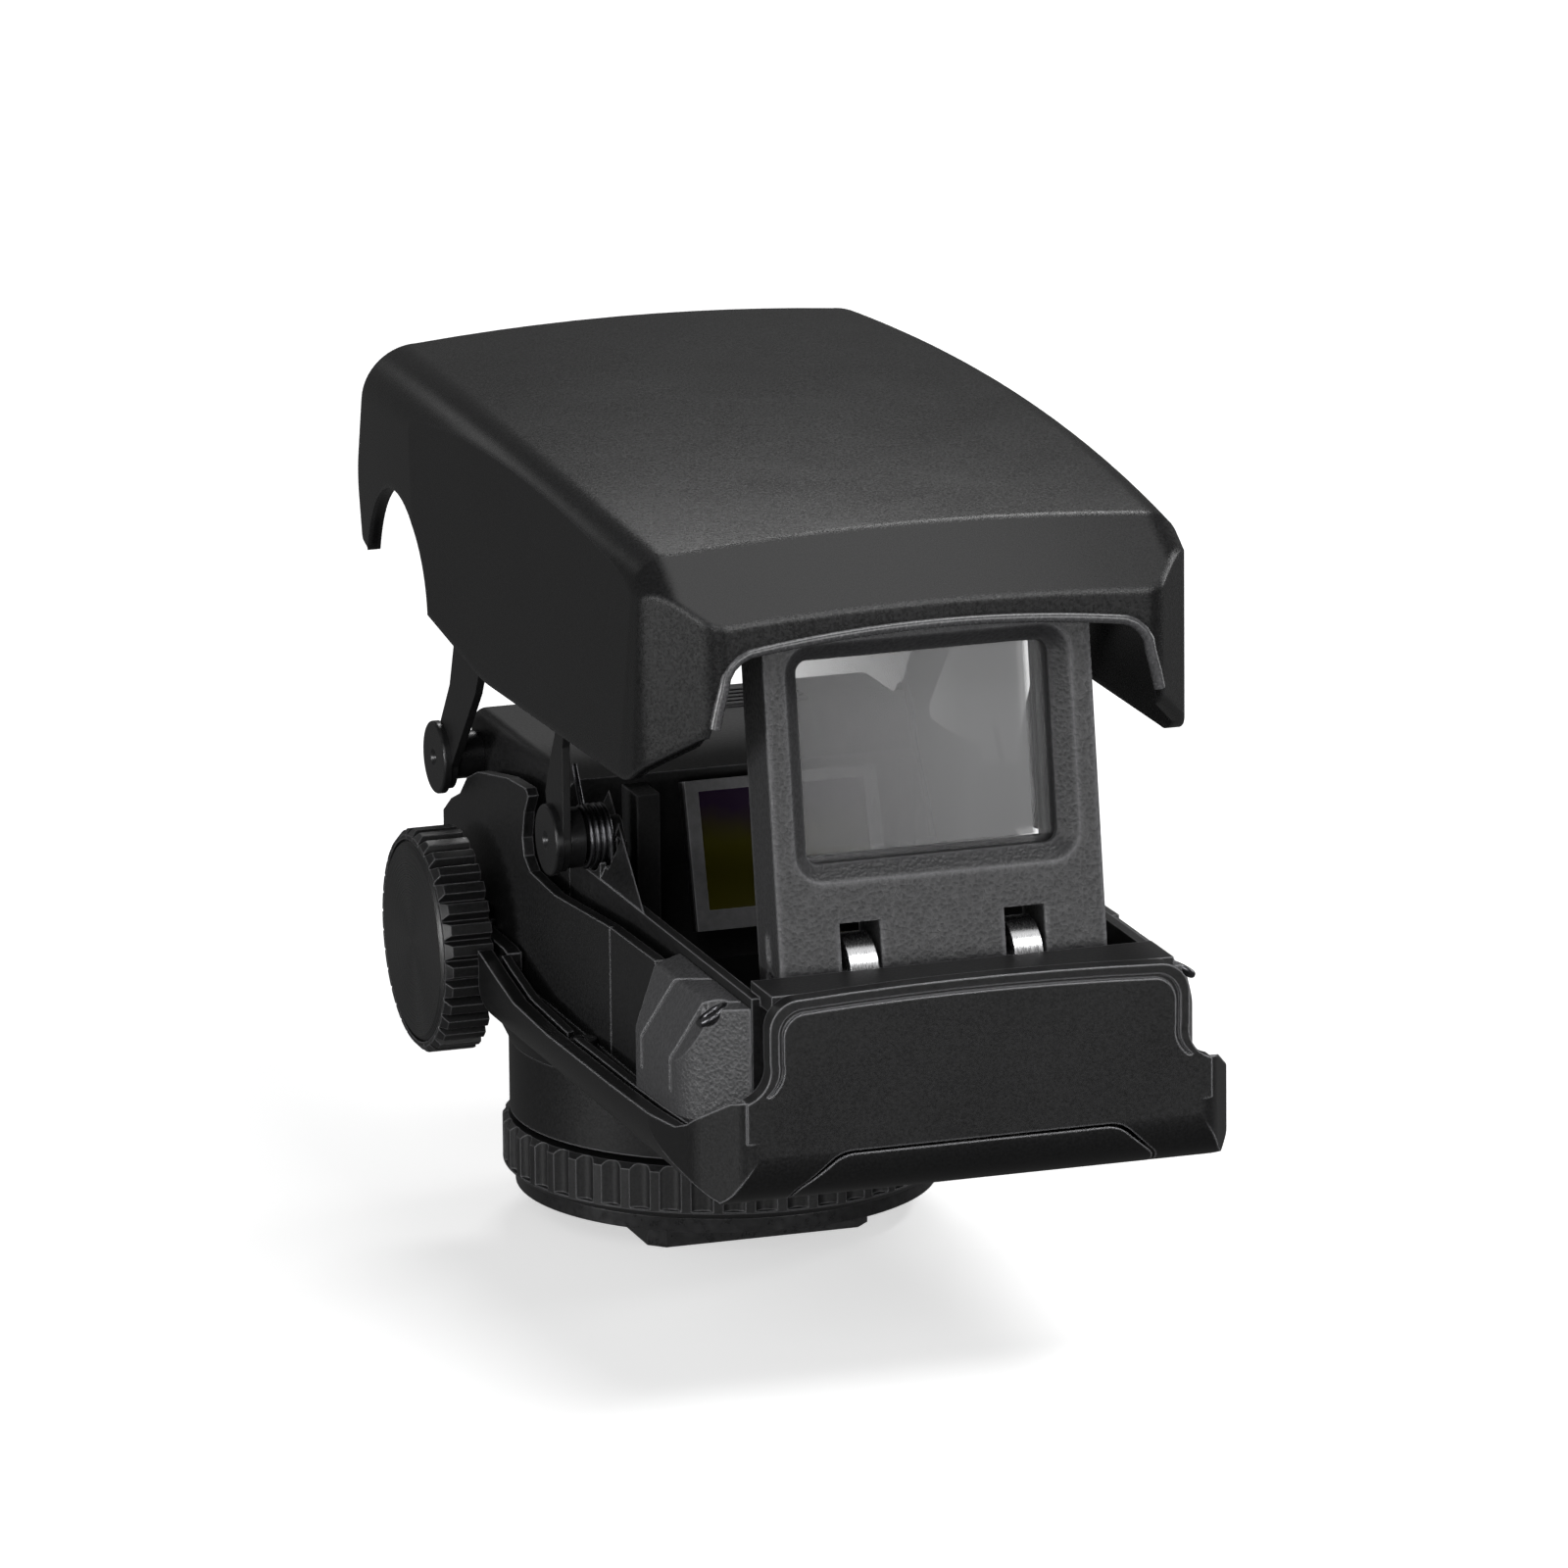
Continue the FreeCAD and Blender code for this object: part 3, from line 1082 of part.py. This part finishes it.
def build():
    shoe_foot()
    foot_screws()
    foot_stem()
    tube("clamp_washer", "Dims.washer_radius", "Dims.stem_radius + 0.35", "Dims.washer_thick",
         (0, 0, D["washer_low"]))
    lock_ring()
    base_shell()
    rim_flange()
    battery_door()
    rod("door_pin", "0.55", "22.6", (-11.3, DOOR_HINGE[0], DOOR_HINGE[1]), (1, 0, 0))
    battery_parts()
    chassis()
    case_screws()
    gussets()
    side_blocks()
    catch_hooks()
    rear_housing()
    arms()
    pivots()
    pivot_bushes()
    torsion_springs()
    top_cover()
    upper_pins()
    window_frame()
    window_glass()
    window_hinge()
    emitter()
    electronics()
    brightness_dial()
    elevation_knob()
    windage_knob()
    release_slider()


def check():
    for item in doc.Objects:
        for state in ("Invalid", "Error"):
            if state in item.State:
                raise RuntimeError(f"{item.Label}: {state}")
    for item in SUB_PARTS:
        shape = item.Shape
        if shape.isNull() or not shape.isValid() or shape.Volume < 0.01:
            raise RuntimeError(f"{item.Label}: bad shape")


def write():
    os.makedirs("parts", exist_ok=True)
    for item in SUB_PARTS:
        item.Shape.exportStep(f"parts/{item.Label}.step")
    print(len(SUB_PARTS), "sub-parts written")


build()
doc.recompute()
check()
write()
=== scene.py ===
"""Looks, light and camera for the folding dot sight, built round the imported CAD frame."""

import json
import math

import bmesh
import bpy
from mathutils import Matrix, Vector


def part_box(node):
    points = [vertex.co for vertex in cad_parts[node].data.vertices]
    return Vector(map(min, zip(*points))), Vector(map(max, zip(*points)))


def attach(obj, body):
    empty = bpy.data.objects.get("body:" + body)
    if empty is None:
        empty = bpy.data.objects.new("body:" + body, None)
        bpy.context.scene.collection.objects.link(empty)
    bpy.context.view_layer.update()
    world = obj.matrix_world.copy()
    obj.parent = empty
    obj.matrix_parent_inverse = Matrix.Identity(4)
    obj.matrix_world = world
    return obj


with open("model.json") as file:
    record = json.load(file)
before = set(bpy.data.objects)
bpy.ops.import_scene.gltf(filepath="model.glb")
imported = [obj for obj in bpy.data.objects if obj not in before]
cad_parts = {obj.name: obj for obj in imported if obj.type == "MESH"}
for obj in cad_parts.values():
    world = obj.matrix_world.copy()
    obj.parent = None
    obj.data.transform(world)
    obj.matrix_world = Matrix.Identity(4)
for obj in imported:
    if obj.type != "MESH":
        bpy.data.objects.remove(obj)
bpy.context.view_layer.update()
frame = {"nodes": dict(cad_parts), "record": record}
nodes = frame["nodes"]
MM = 0.001
BLACK = (0, 0, 0)
COOL_WHITE = (1.0, 1.0, 1.04)


def grey(level):
    return (level, level, level * 1.03)


def put_in_scene(thing):
    bpy.context.scene.collection.objects.link(thing)


# ---- node helpers ----

BEVEL_SAMPLES = 4
# Where the edge mask for the painted edge highlight begins and where it is full.
HIGHLIGHT_EDGE_BEGINS = 0.99
HIGHLIGHT_EDGE_IS_FULL = 0.86


class Graph:
    """A material's node tree, with short calls for the nodes that the finishes share."""

    def __init__(self, name):
        self.material = bpy.data.materials.new(name)
        self.material.use_nodes = True
        self.tree = self.material.node_tree
        self.shader = self.tree.nodes["Principled BSDF"]
        self.place = self.add("ShaderNodeTexCoord").outputs["Object"]

    def add(self, kind, **settings):
        node = self.tree.nodes.new(kind)
        for name, value in settings.items():
            setattr(node, name, value)
        return node

    def link(self, source, target):
        self.tree.links.new(source, target)

    def noise(self, size, detail=2.0, roughness=0.5, place=None):
        """Noise whose features are about size millimetres across."""
        node = self.add("ShaderNodeTexNoise")
        node.inputs["Scale"].default_value = 1.0 / (size * MM)
        node.inputs["Detail"].default_value = detail
        node.inputs["Roughness"].default_value = roughness
        self.link(place or self.place, node.inputs["Vector"])
        return node.outputs["Fac"]

    def cells(self, size, randomness=1.0):
        """Voronoi cells about size millimetres across."""
        node = self.add("ShaderNodeTexVoronoi")
        node.inputs["Scale"].default_value = 1.0 / (size * MM)
        node.inputs["Randomness"].default_value = randomness
        self.link(self.place, node.inputs["Vector"])
        return node.outputs["Distance"]

    def remap(self, value, low, high, new_low, new_high):
        node = self.add("ShaderNodeMapRange")
        node.inputs["From Min"].default_value = low
        node.inputs["From Max"].default_value = high
        node.inputs["To Min"].default_value = new_low
        node.inputs["To Max"].default_value = new_high
        self.link(value, node.inputs["Value"])
        return node.outputs["Result"]

    def share(self, axis, low, high):
        """How far a point is from low to high along the X, Y or Z axis, from 0 to 1."""
        split = self.add("ShaderNodeSeparateXYZ")
        self.link(self.place, split.inputs["Vector"])
        return self.remap(split.outputs[axis], low, high, 0.0, 1.0)

    def blend(self, factor, first, second):
        """A colour that runs from first to second."""
        node = self.add("ShaderNodeMix", data_type="RGBA")
        node.inputs["A"].default_value = (*first, 1)
        node.inputs["B"].default_value = (*second, 1)
        self.link(factor, node.inputs["Factor"])
        return node.outputs["Result"]

    def math(self, operation, first, second):
        node = self.add("ShaderNodeMath", operation=operation)
        for socket, value in zip(node.inputs, (first, second)):
            if isinstance(value, (int, float)):
                socket.default_value = value
            else:
                self.link(value, socket)
        return node.outputs[0]

    def vector(self, operation, first, second):
        """A vector from a socket and a fixed vector."""
        node = self.add("ShaderNodeVectorMath", operation=operation)
        self.link(first, node.inputs[0])
        node.inputs[1].default_value = second
        return node.outputs["Vector"]

    def rounded(self, radius):
        """The surface normal, as if edges were rounded by radius millimetres."""
        node = self.add("ShaderNodeBevel", samples=BEVEL_SAMPLES)
        node.inputs["Radius"].default_value = radius * MM
        return node.outputs["Normal"]

    def edges(self, radius):
        """1 on rounded edges, 0 on flat faces; radius in millimetres. The finishes paint a highlight on
        these edges.
        """
        softened = self.rounded(radius)
        geometry = self.add("ShaderNodeNewGeometry")
        dot = self.add("ShaderNodeVectorMath", operation="DOT_PRODUCT")
        self.link(softened, dot.inputs[0])
        self.link(geometry.outputs["Normal"], dot.inputs[1])
        return self.remap(dot.outputs["Value"], HIGHLIGHT_EDGE_BEGINS, HIGHLIGHT_EDGE_IS_FULL, 0.0, 1.0)

    def bump(self, height, depth, edge=None):
        """Relief of depth millimetres from a 0 to 1 height, over edges rounded by edge millimetres."""
        node = self.add("ShaderNodeBump")
        node.inputs["Strength"].default_value = 1.0
        node.inputs["Distance"].default_value = depth * MM
        self.link(height, node.inputs["Height"])
        if edge:
            self.link(self.rounded(edge), node.inputs["Normal"])
        self.link(node.outputs["Normal"], self.shader.inputs["Normal"])

    def colour(self, value):
        self.link(value, self.shader.inputs["Base Color"])

    def rough(self, value):
        self.link(value, self.shader.inputs["Roughness"])

    def fixed(self, **values):
        """Values that are the same all over the surface, set on the shader itself."""
        for name, value in values.items():
            self.shader.inputs[name.replace("_", " ")].default_value = value


# ---- finishes ----

def moulded(name, level, rough, grain, depth, specular=0.3, edge_highlight=0.16, edge=0.25):
    """Moulded black plastic: fine relief, faint mottling, and a painted highlight on the edges, which are
    also made less rough.
    """
    g = Graph(name)
    mottle = g.noise(9.0, 2.0)
    fine = g.noise(grain, 2.0, 0.5)
    speckle = g.math("ADD", g.math("MULTIPLY", fine, 0.8), g.math("MULTIPLY", mottle, 0.2))
    highlight_edges = g.edges(edge)
    plain = g.remap(speckle, 0.3, 0.7, level * 0.6, level * 1.6)
    # The edges are painted paler than the faces: a painted highlight.
    tone = g.math("ADD", plain, g.math("MULTIPLY", highlight_edges, edge_highlight))
    g.colour(g.blend(tone, BLACK, COOL_WHITE))
    shine = g.remap(speckle, 0.3, 0.7, rough - 0.05, rough + 0.06)
    g.rough(g.math("SUBTRACT", shine, g.math("MULTIPLY", highlight_edges, 0.08)))
    g.bump(fine, depth, edge)
    g.fixed(Specular_IOR_Level=specular)
    return g.material


def spark_textured(name, level, rough, grain, depth, edge_highlight=0.08, edge=0.3):
    """Coarse spark-eroded plastic: rounded pits on top of a fine grain, and a painted highlight on the
    edges.
    """
    g = Graph(name)
    pits = g.cells(grain)
    fine = g.noise(grain * 0.5, 3.0, 0.6)
    relief = g.math("ADD", g.math("MULTIPLY", pits, 0.6), g.math("MULTIPLY", fine, 0.6))
    plain = g.remap(relief, 0.3, 0.8, level * 0.8, level * 1.3)
    # The edges are painted paler than the faces: a painted highlight.
    tone = g.math("ADD", plain, g.math("MULTIPLY", g.edges(edge), edge_highlight))
    g.colour(g.blend(tone, BLACK, COOL_WHITE))
    g.rough(g.remap(pits, 0.1, 0.8, rough + 0.06, rough - 0.08))
    g.bump(relief, depth, edge)
    g.fixed(Specular_IOR_Level=0.5)
    return g.material


def turned_cap(name):
    """Gloss black disc, faced on a lathe: fine rings that spread the light into a fan."""
    ring_pitch = 0.12
    across_axle = (0, 1, 1)
    g = Graph(name)
    low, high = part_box("dial_cap")
    local = g.vector("SUBTRACT", g.place, (low + high) / 2)
    reach = g.add("ShaderNodeVectorMath", operation="LENGTH")
    g.link(g.vector("MULTIPLY", local, across_axle), reach.inputs[0])
    rings = g.add("ShaderNodeTexNoise", noise_dimensions="1D")
    rings.inputs["Scale"].default_value = 1.0 / (ring_pitch * MM)
    rings.inputs["Detail"].default_value = 4.0
    g.link(reach.outputs["Value"], rings.inputs["W"])
    g.colour(g.blend(rings.outputs["Fac"], grey(0.006), grey(0.02)))
    g.rough(g.remap(rings.outputs["Fac"], 0.3, 0.7, 0.20, 0.34))
    g.bump(rings.outputs["Fac"], 0.010)
    tangent = g.add("ShaderNodeTangent", direction_type="RADIAL", axis="X")
    g.link(tangent.outputs["Tangent"], g.shader.inputs["Tangent"])
    g.fixed(Anisotropic=0.7, Specular_IOR_Level=0.6)
    return g.material


def plated(name, level, rough, metallic):
    """Blackened or painted metal with faint handling marks and a painted highlight on the edges."""
    g = Graph(name)
    marks = g.noise(0.8, 5.0, 0.65)
    # The edges are painted paler: a painted highlight.
    highlight_edges = g.math("MULTIPLY", g.edges(0.15), 0.8)
    tone = g.math("ADD", g.math("MULTIPLY", marks, 0.4), highlight_edges)
    g.colour(g.blend(tone, grey(level * 0.7), grey(level * 3.0)))
    g.rough(g.remap(marks, 0.3, 0.7, rough - 0.06, rough + 0.08))
    g.bump(g.noise(0.15, 3.0), 0.004, 0.12)
    g.fixed(Metallic=metallic, Specular_IOR_Level=0.5)
    return g.material


def bright_metal(name, colour, rough, stretch):
    """Ground or drawn metal: fine streaks, long on the axis where stretch is small."""
    g = Graph(name)
    streaks = g.noise(0.08, 3.0, 0.6, g.vector("MULTIPLY", g.place, stretch))
    g.colour(g.blend(streaks, tuple(c * 0.75 for c in colour), colour))
    g.rough(g.remap(streaks, 0.3, 0.7, rough, rough + 0.14))
    g.bump(streaks, 0.003, 0.1)
    g.fixed(Metallic=1.0)
    return g.material


def veiled_glass(name, level, veil_left, veil_right):
    """Half-mirror glass: a grey coating, denser to the right, thin along the right edge and foot."""
    g = Graph(name)
    low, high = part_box("combiner_glass")
    across = g.share("X", low.x, high.x)
    rise = g.share("Z", low.z, high.z)
    cloudy = g.math("ADD", across, g.math("MULTIPLY", g.noise(14.0, 1.0), 0.15))
    density = g.remap(cloudy, 0.1, 0.75, veil_left, veil_right)
    beside_strip = g.remap(across, 0.885, 0.90, 1.0, 0.35)
    above_foot = g.remap(rise, 0.085, 0.10, 0.3, 1.0)
    coated = g.math("MULTIPLY", beside_strip, above_foot)
    g.link(g.math("MULTIPLY", density, coated), g.shader.inputs["Alpha"])
    # The grey is painted paler towards the top: a painted highlight.
    g.colour(g.blend(rise, grey(level * 0.8), grey(level * 1.3)))
    g.rough(g.remap(g.noise(3.0, 3.0), 0.3, 0.7, 0.03, 0.07))
    g.fixed(Specular_IOR_Level=0.25)
    return g.material


def coated_lens(name):
    """Olive coated glass with a faint purple bloom at the top."""
    g = Graph(name)
    low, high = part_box("emitter_glass")
    rise = g.share("Z", low.z, high.z)
    wave = g.math("ADD", rise, g.math("MULTIPLY", g.noise(2.5, 2.0), 0.25))
    ramp = g.add("ShaderNodeValToRGB")
    stops = ramp.color_ramp.elements
    stops[0].color = (0.060, 0.055, 0.002, 1)
    stops[1].color = (0.030, 0.016, 0.040, 1)
    bloom_begins = stops.new(0.72)
    bloom_begins.color = (0.050, 0.046, 0.003, 1)
    g.link(wave, ramp.inputs["Fac"])
    g.colour(ramp.outputs["Color"])
    g.rough(g.remap(g.noise(1.5, 2.0), 0.3, 0.7, 0.10, 0.16))
    g.fixed(Specular_IOR_Level=0.12)
    return g.material


def laminate(name):
    """Green circuit board with a faint weave."""
    g = Graph(name)
    weave = g.cells(0.5, 0.0)
    g.colour(g.blend(weave, (0.004, 0.035, 0.012), (0.010, 0.075, 0.028)))
    g.rough(g.remap(weave, 0.0, 0.7, 0.35, 0.5))
    g.bump(weave, 0.01)
    return g.material


def glowing_chip(name):
    """The clear red lens of the light source."""
    g = Graph(name)
    cloud = g.noise(0.4, 2.0)
    g.colour(g.blend(cloud, (0.25, 0.01, 0.01), (0.45, 0.03, 0.02)))
    g.rough(g.remap(cloud, 0.3, 0.7, 0.12, 0.25))
    g.fixed(Coat_Weight=0.4)
    return g.material


# A higher level is paler. Grain, depth and edge are in millimetres. The value just before edge sets how
# much paler the edges are painted, a painted highlight.
FINISHES = {
    "cover_plastic": moulded(
        "cover_satin", level=0.008, rough=0.27, grain=0.22, depth=0.003,
        specular=0.45, edge_highlight=0.03, edge=0.7),
    "base_plastic": moulded(
        "base_matte", level=0.008, rough=0.36, grain=0.20, depth=0.005,
        specular=0.40, edge_highlight=0.34, edge=0.24),
    "chassis_plastic": moulded(
        "chassis_matte", level=0.011, rough=0.44, grain=0.28, depth=0.014,
        specular=0.40, edge_highlight=0.26, edge=0.2),
    "frame_plastic": spark_textured(
        "frame_spark", level=0.036, rough=0.40, grain=0.36, depth=0.08, edge_highlight=0.16, edge=0.8),
    "knob_plastic": moulded(
        "knob_satin", level=0.012, rough=0.36, grain=0.18, depth=0.004,
        specular=0.45, edge_highlight=0.18, edge=0.16),
    "cap_gloss": turned_cap("cap_turned"),
    "ring_plastic": moulded(
        "ring_satin", level=0.012, rough=0.40, grain=0.2, depth=0.006,
        specular=0.45, edge_highlight=0.18, edge=0.16),
    "arm_metal": plated("arm_painted", level=0.010, rough=0.42, metallic=0.0),
    "black_metal": plated("metal_blackened", level=0.03, rough=0.30, metallic=0.6),
    "spring_steel": bright_metal("wire_drawn", (0.16, 0.16, 0.17), rough=0.24, stretch=(0.2, 1, 1)),
    "steel": bright_metal("steel_ground", (0.62, 0.62, 0.63), rough=0.20, stretch=(1, 0.2, 0.2)),
    "combiner_glass": veiled_glass("glass_veiled", level=0.105, veil_left=0.42, veil_right=0.90),
    "emitter_glass": coated_lens("glass_olive"),
    "emitter_silver": plated("bezel_silver", level=0.16, rough=0.42, metallic=0.3),
    "emitter_black": spark_textured("emitter_flat_black", level=0.012, rough=0.55, grain=0.30, depth=0.02),
    "led": glowing_chip("chip_red"),
    "cell_steel": bright_metal("cell_nickel", (0.70, 0.69, 0.66), rough=0.16, stretch=(1, 1, 0.2)),
    "contact_brass": bright_metal("contact_brass", (0.62, 0.45, 0.16), rough=0.22, stretch=(1, 0.2, 1)),
    "board": laminate("board_green"),
    "switch_plastic": moulded("switch_grey", level=0.05, rough=0.45, grain=0.2, depth=0.008),
}
BLOCK_FINISH = spark_textured(
    "block_frosted", level=0.058, rough=0.44, grain=0.34, depth=0.07, edge_highlight=0.25, edge=0.3)
# The arch's bead is painted far paler than the cover's plastic: a painted highlight along the arch's lip.
RIM_HIGHLIGHT_FINISH = moulded(
    "rim_painted_highlight", level=0.07, rough=0.24, grain=0.20, depth=0.002, specular=0.6, edge_highlight=0.0, edge=0.1)


def dress_cad_nodes():
    """Gives each CAD node the finish of its material slot, and the side blocks their own."""
    for part in frame["record"]["subparts"]:
        finish = FINISHES[part["material_slot"]]
        if part["node"].startswith("side_block"):
            finish = BLOCK_FINISH
        mesh = nodes[part["node"]].data
        mesh.materials.clear()
        mesh.materials.append(finish)


# ---- rim of the cover's arch ----

# In millimetres. The half widths run from the legs' feet up to the flat top.
ARCH_HALF_FOOT = 17.95
ARCH_HALF_LEG = 17.65
ARCH_HALF_SHOULDER = 17.2
ARCH_HALF_TOP = 14.2
ARCH_FOOT_Z = 54.2
ARCH_LEG_Z = 55.6
ARCH_SHOULDER_Z = 57.3
ARCH_TOP_Z = 60.05
ARCH_CROWN = 0.95
ARCH_CORNER_STEPS = 5
ARCH_TOP_STEPS = 12
ARCH_RIM_Y = -52.65
ARCH_RIM_RADIUS = 0.45


def arch_line():
    """Points along the edge of the cover's arch, from its left foot over the top to its right foot."""
    half = [(ARCH_HALF_FOOT, ARCH_FOOT_Z), (ARCH_HALF_LEG, ARCH_LEG_Z)]
    for step in range(ARCH_CORNER_STEPS + 1):
        turn = math.pi / 2 * step / ARCH_CORNER_STEPS
        x = ARCH_HALF_TOP + (ARCH_HALF_SHOULDER - ARCH_HALF_TOP) * math.cos(turn)
        z = ARCH_SHOULDER_Z + (ARCH_TOP_Z - ARCH_SHOULDER_Z) * math.sin(turn)
        half.append((x, z))
    for step in range(1, ARCH_TOP_STEPS):
        x = ARCH_HALF_TOP * (1 - step / ARCH_TOP_STEPS)
        z = ARCH_TOP_Z + ARCH_CROWN * (1 - (x / ARCH_HALF_TOP) ** 2)
        half.append((x, z))
    mirrored = [(-x, z) for x, z in half]
    outline = mirrored + [(0, ARCH_TOP_Z + ARCH_CROWN)] + half[::-1]
    return [Vector((x, ARCH_RIM_Y, z)) for x, z in outline]


def arch_rim():
    """The thin rolled bead that edges the cover's arch, in a paler plastic that paints the highlight along
    the lip.
    """
    curve = bpy.data.curves.new("arch_rim", "CURVE")
    curve.dimensions = "3D"
    curve.bevel_depth = ARCH_RIM_RADIUS * MM
    curve.bevel_resolution = 3
    curve.use_fill_caps = True
    points = arch_line()
    spline = curve.splines.new("POLY")
    spline.points.add(len(points) - 1)
    for knot, point in zip(spline.points, points):
        knot.co = (*(point * MM), 1)
    drawn = bpy.data.objects.new("arch_rim_curve", curve)
    put_in_scene(drawn)
    evaluated = drawn.evaluated_get(bpy.context.evaluated_depsgraph_get())
    mesh = bpy.data.meshes.new_from_object(evaluated)
    bpy.data.objects.remove(drawn)
    for face in mesh.polygons:
        face.use_smooth = True
    bead = bpy.data.objects.new("arch_rim", mesh)
    put_in_scene(bead)
    mesh.materials.clear()
    mesh.materials.append(RIM_HIGHLIGHT_FINISH)
    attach(bead, "cover")


# ---- studio ----

CAMERA_TARGET = Vector((7.46, 6.64, 33.0)) * MM
CAMERA_BACK = Vector((-0.3082, -0.9168, 0.2540))
CAMERA_UP = Vector((0.0905, 0.2375, 0.9672))
CAMERA_DISTANCE = 1.0962
CAMERA_LENS = 311.9
CAMERA_SENSOR = 36.0


def studio_camera():
    """A long lens at the photograph's angle, looking from front left and a little above."""
    data = bpy.data.cameras.new("camera")
    data.sensor_width = CAMERA_SENSOR
    data.lens = CAMERA_LENS
    data.clip_start = 0.05
    data.clip_end = 50.0
    camera = bpy.data.objects.new("camera", data)
    back = CAMERA_BACK.normalized()
    right = CAMERA_UP.cross(back).normalized()
    up = back.cross(right)
    turn = Matrix((right, up, back)).transposed().to_4x4()
    camera.matrix_world = Matrix.Translation(CAMERA_TARGET + back * CAMERA_DISTANCE) @ turn
    put_in_scene(camera)
    bpy.context.scene.camera = camera


FLOOR_RADIUS = 6.0
FLOOR_GLOW = 0.55


def studio_floor():
    """A pale floor that catches shadows and adds no light or reflection of its own to the object."""
    mesh = bpy.data.meshes.new("floor")
    shape = bmesh.new()
    bmesh.ops.create_circle(shape, cap_ends=True, segments=96, radius=FLOOR_RADIUS)
    shape.to_mesh(mesh)
    shape.free()
    floor = bpy.data.objects.new("floor", mesh)
    g = Graph("floor_pale")
    tone = g.noise(60.0, 2.0)
    g.colour(g.blend(tone, (0.90, 0.90, 0.90), (0.93, 0.93, 0.93)))
    g.rough(g.remap(tone, 0.3, 0.7, 0.85, 0.95))
    g.fixed(Specular_IOR_Level=0.1, Emission_Color=(1, 1, 1, 1), Emission_Strength=FLOOR_GLOW)
    mesh.materials.append(g.material)
    floor.visible_glossy = False
    floor.visible_diffuse = False
    put_in_scene(floor)


WORLD_TO_SURFACES = 0.09
WORLD_TO_CAMERA = 1.0


def studio_world():
    """White to the camera, dim grey to the surfaces, as round a product between black flags."""
    world = bpy.data.worlds.new("studio")
    world.use_nodes = True
    tree = world.node_tree
    background = tree.nodes["Background"]
    path = tree.nodes.new("ShaderNodeLightPath")
    level = tree.nodes.new("ShaderNodeMapRange")
    level.inputs["To Min"].default_value = WORLD_TO_SURFACES
    level.inputs["To Max"].default_value = WORLD_TO_CAMERA
    tree.links.new(path.outputs["Is Camera Ray"], level.inputs["Value"])
    tree.links.new(level.outputs["Result"], background.inputs["Strength"])
    background.inputs["Color"].default_value = (1, 1, 1, 1)
    bpy.context.scene.world = world
    bpy.context.scene.view_settings.view_transform = "Standard"


LIGHT_AIM = Vector((0, -20, 40)) * MM

# Name, place, width and height in millimetres, and brightness.
SOFTBOXES = (
    ("overhead", (220, 40, 900), 640, 420, 1.3),
    ("front_edge_strip", (300, -520, 780), 700, 120, 16.0),
    ("back_high", (320, 705, 745), 340, 140, 13.0),
    ("back_left_strip", (-300, 880, 360), 300, 160, 0.5),
    ("left", (-900, -260, 160), 460, 420, 3.0),
    ("left_low", (-900, -20, 45), 320, 80, 24.0),
    ("front_left_low", (-480, -880, 50), 300, 90, 12.0),
    ("front_left_high", (-480, -820, 520), 400, 300, 5.0),
    ("front_right", (330, -1000, 120), 620, 300, 5.5),
    ("right_rim", (900, 200, 200), 300, 500, 5.0),
)


def studio_lights():
    """Rectangular softboxes of even brightness, all turned to the middle of the object."""
    for name, place, wide, high, level in SOFTBOXES:
        data = bpy.data.lights.new(name, "AREA")
        data.shape = "RECTANGLE"
        data.size = wide * MM
        data.size_y = high * MM
        data.energy = level * math.pi * data.size * data.size_y
        light = bpy.data.objects.new(name, data)
        light.location = Vector(place) * MM
        light.rotation_mode = "QUATERNION"
        light.rotation_quaternion = (Vector(place) * MM - LIGHT_AIM).to_track_quat("Z", "Y")
        light.visible_camera = False
        put_in_scene(light)


dress_cad_nodes()
arch_rim()
studio_camera()
studio_floor()
studio_world()
studio_lights()
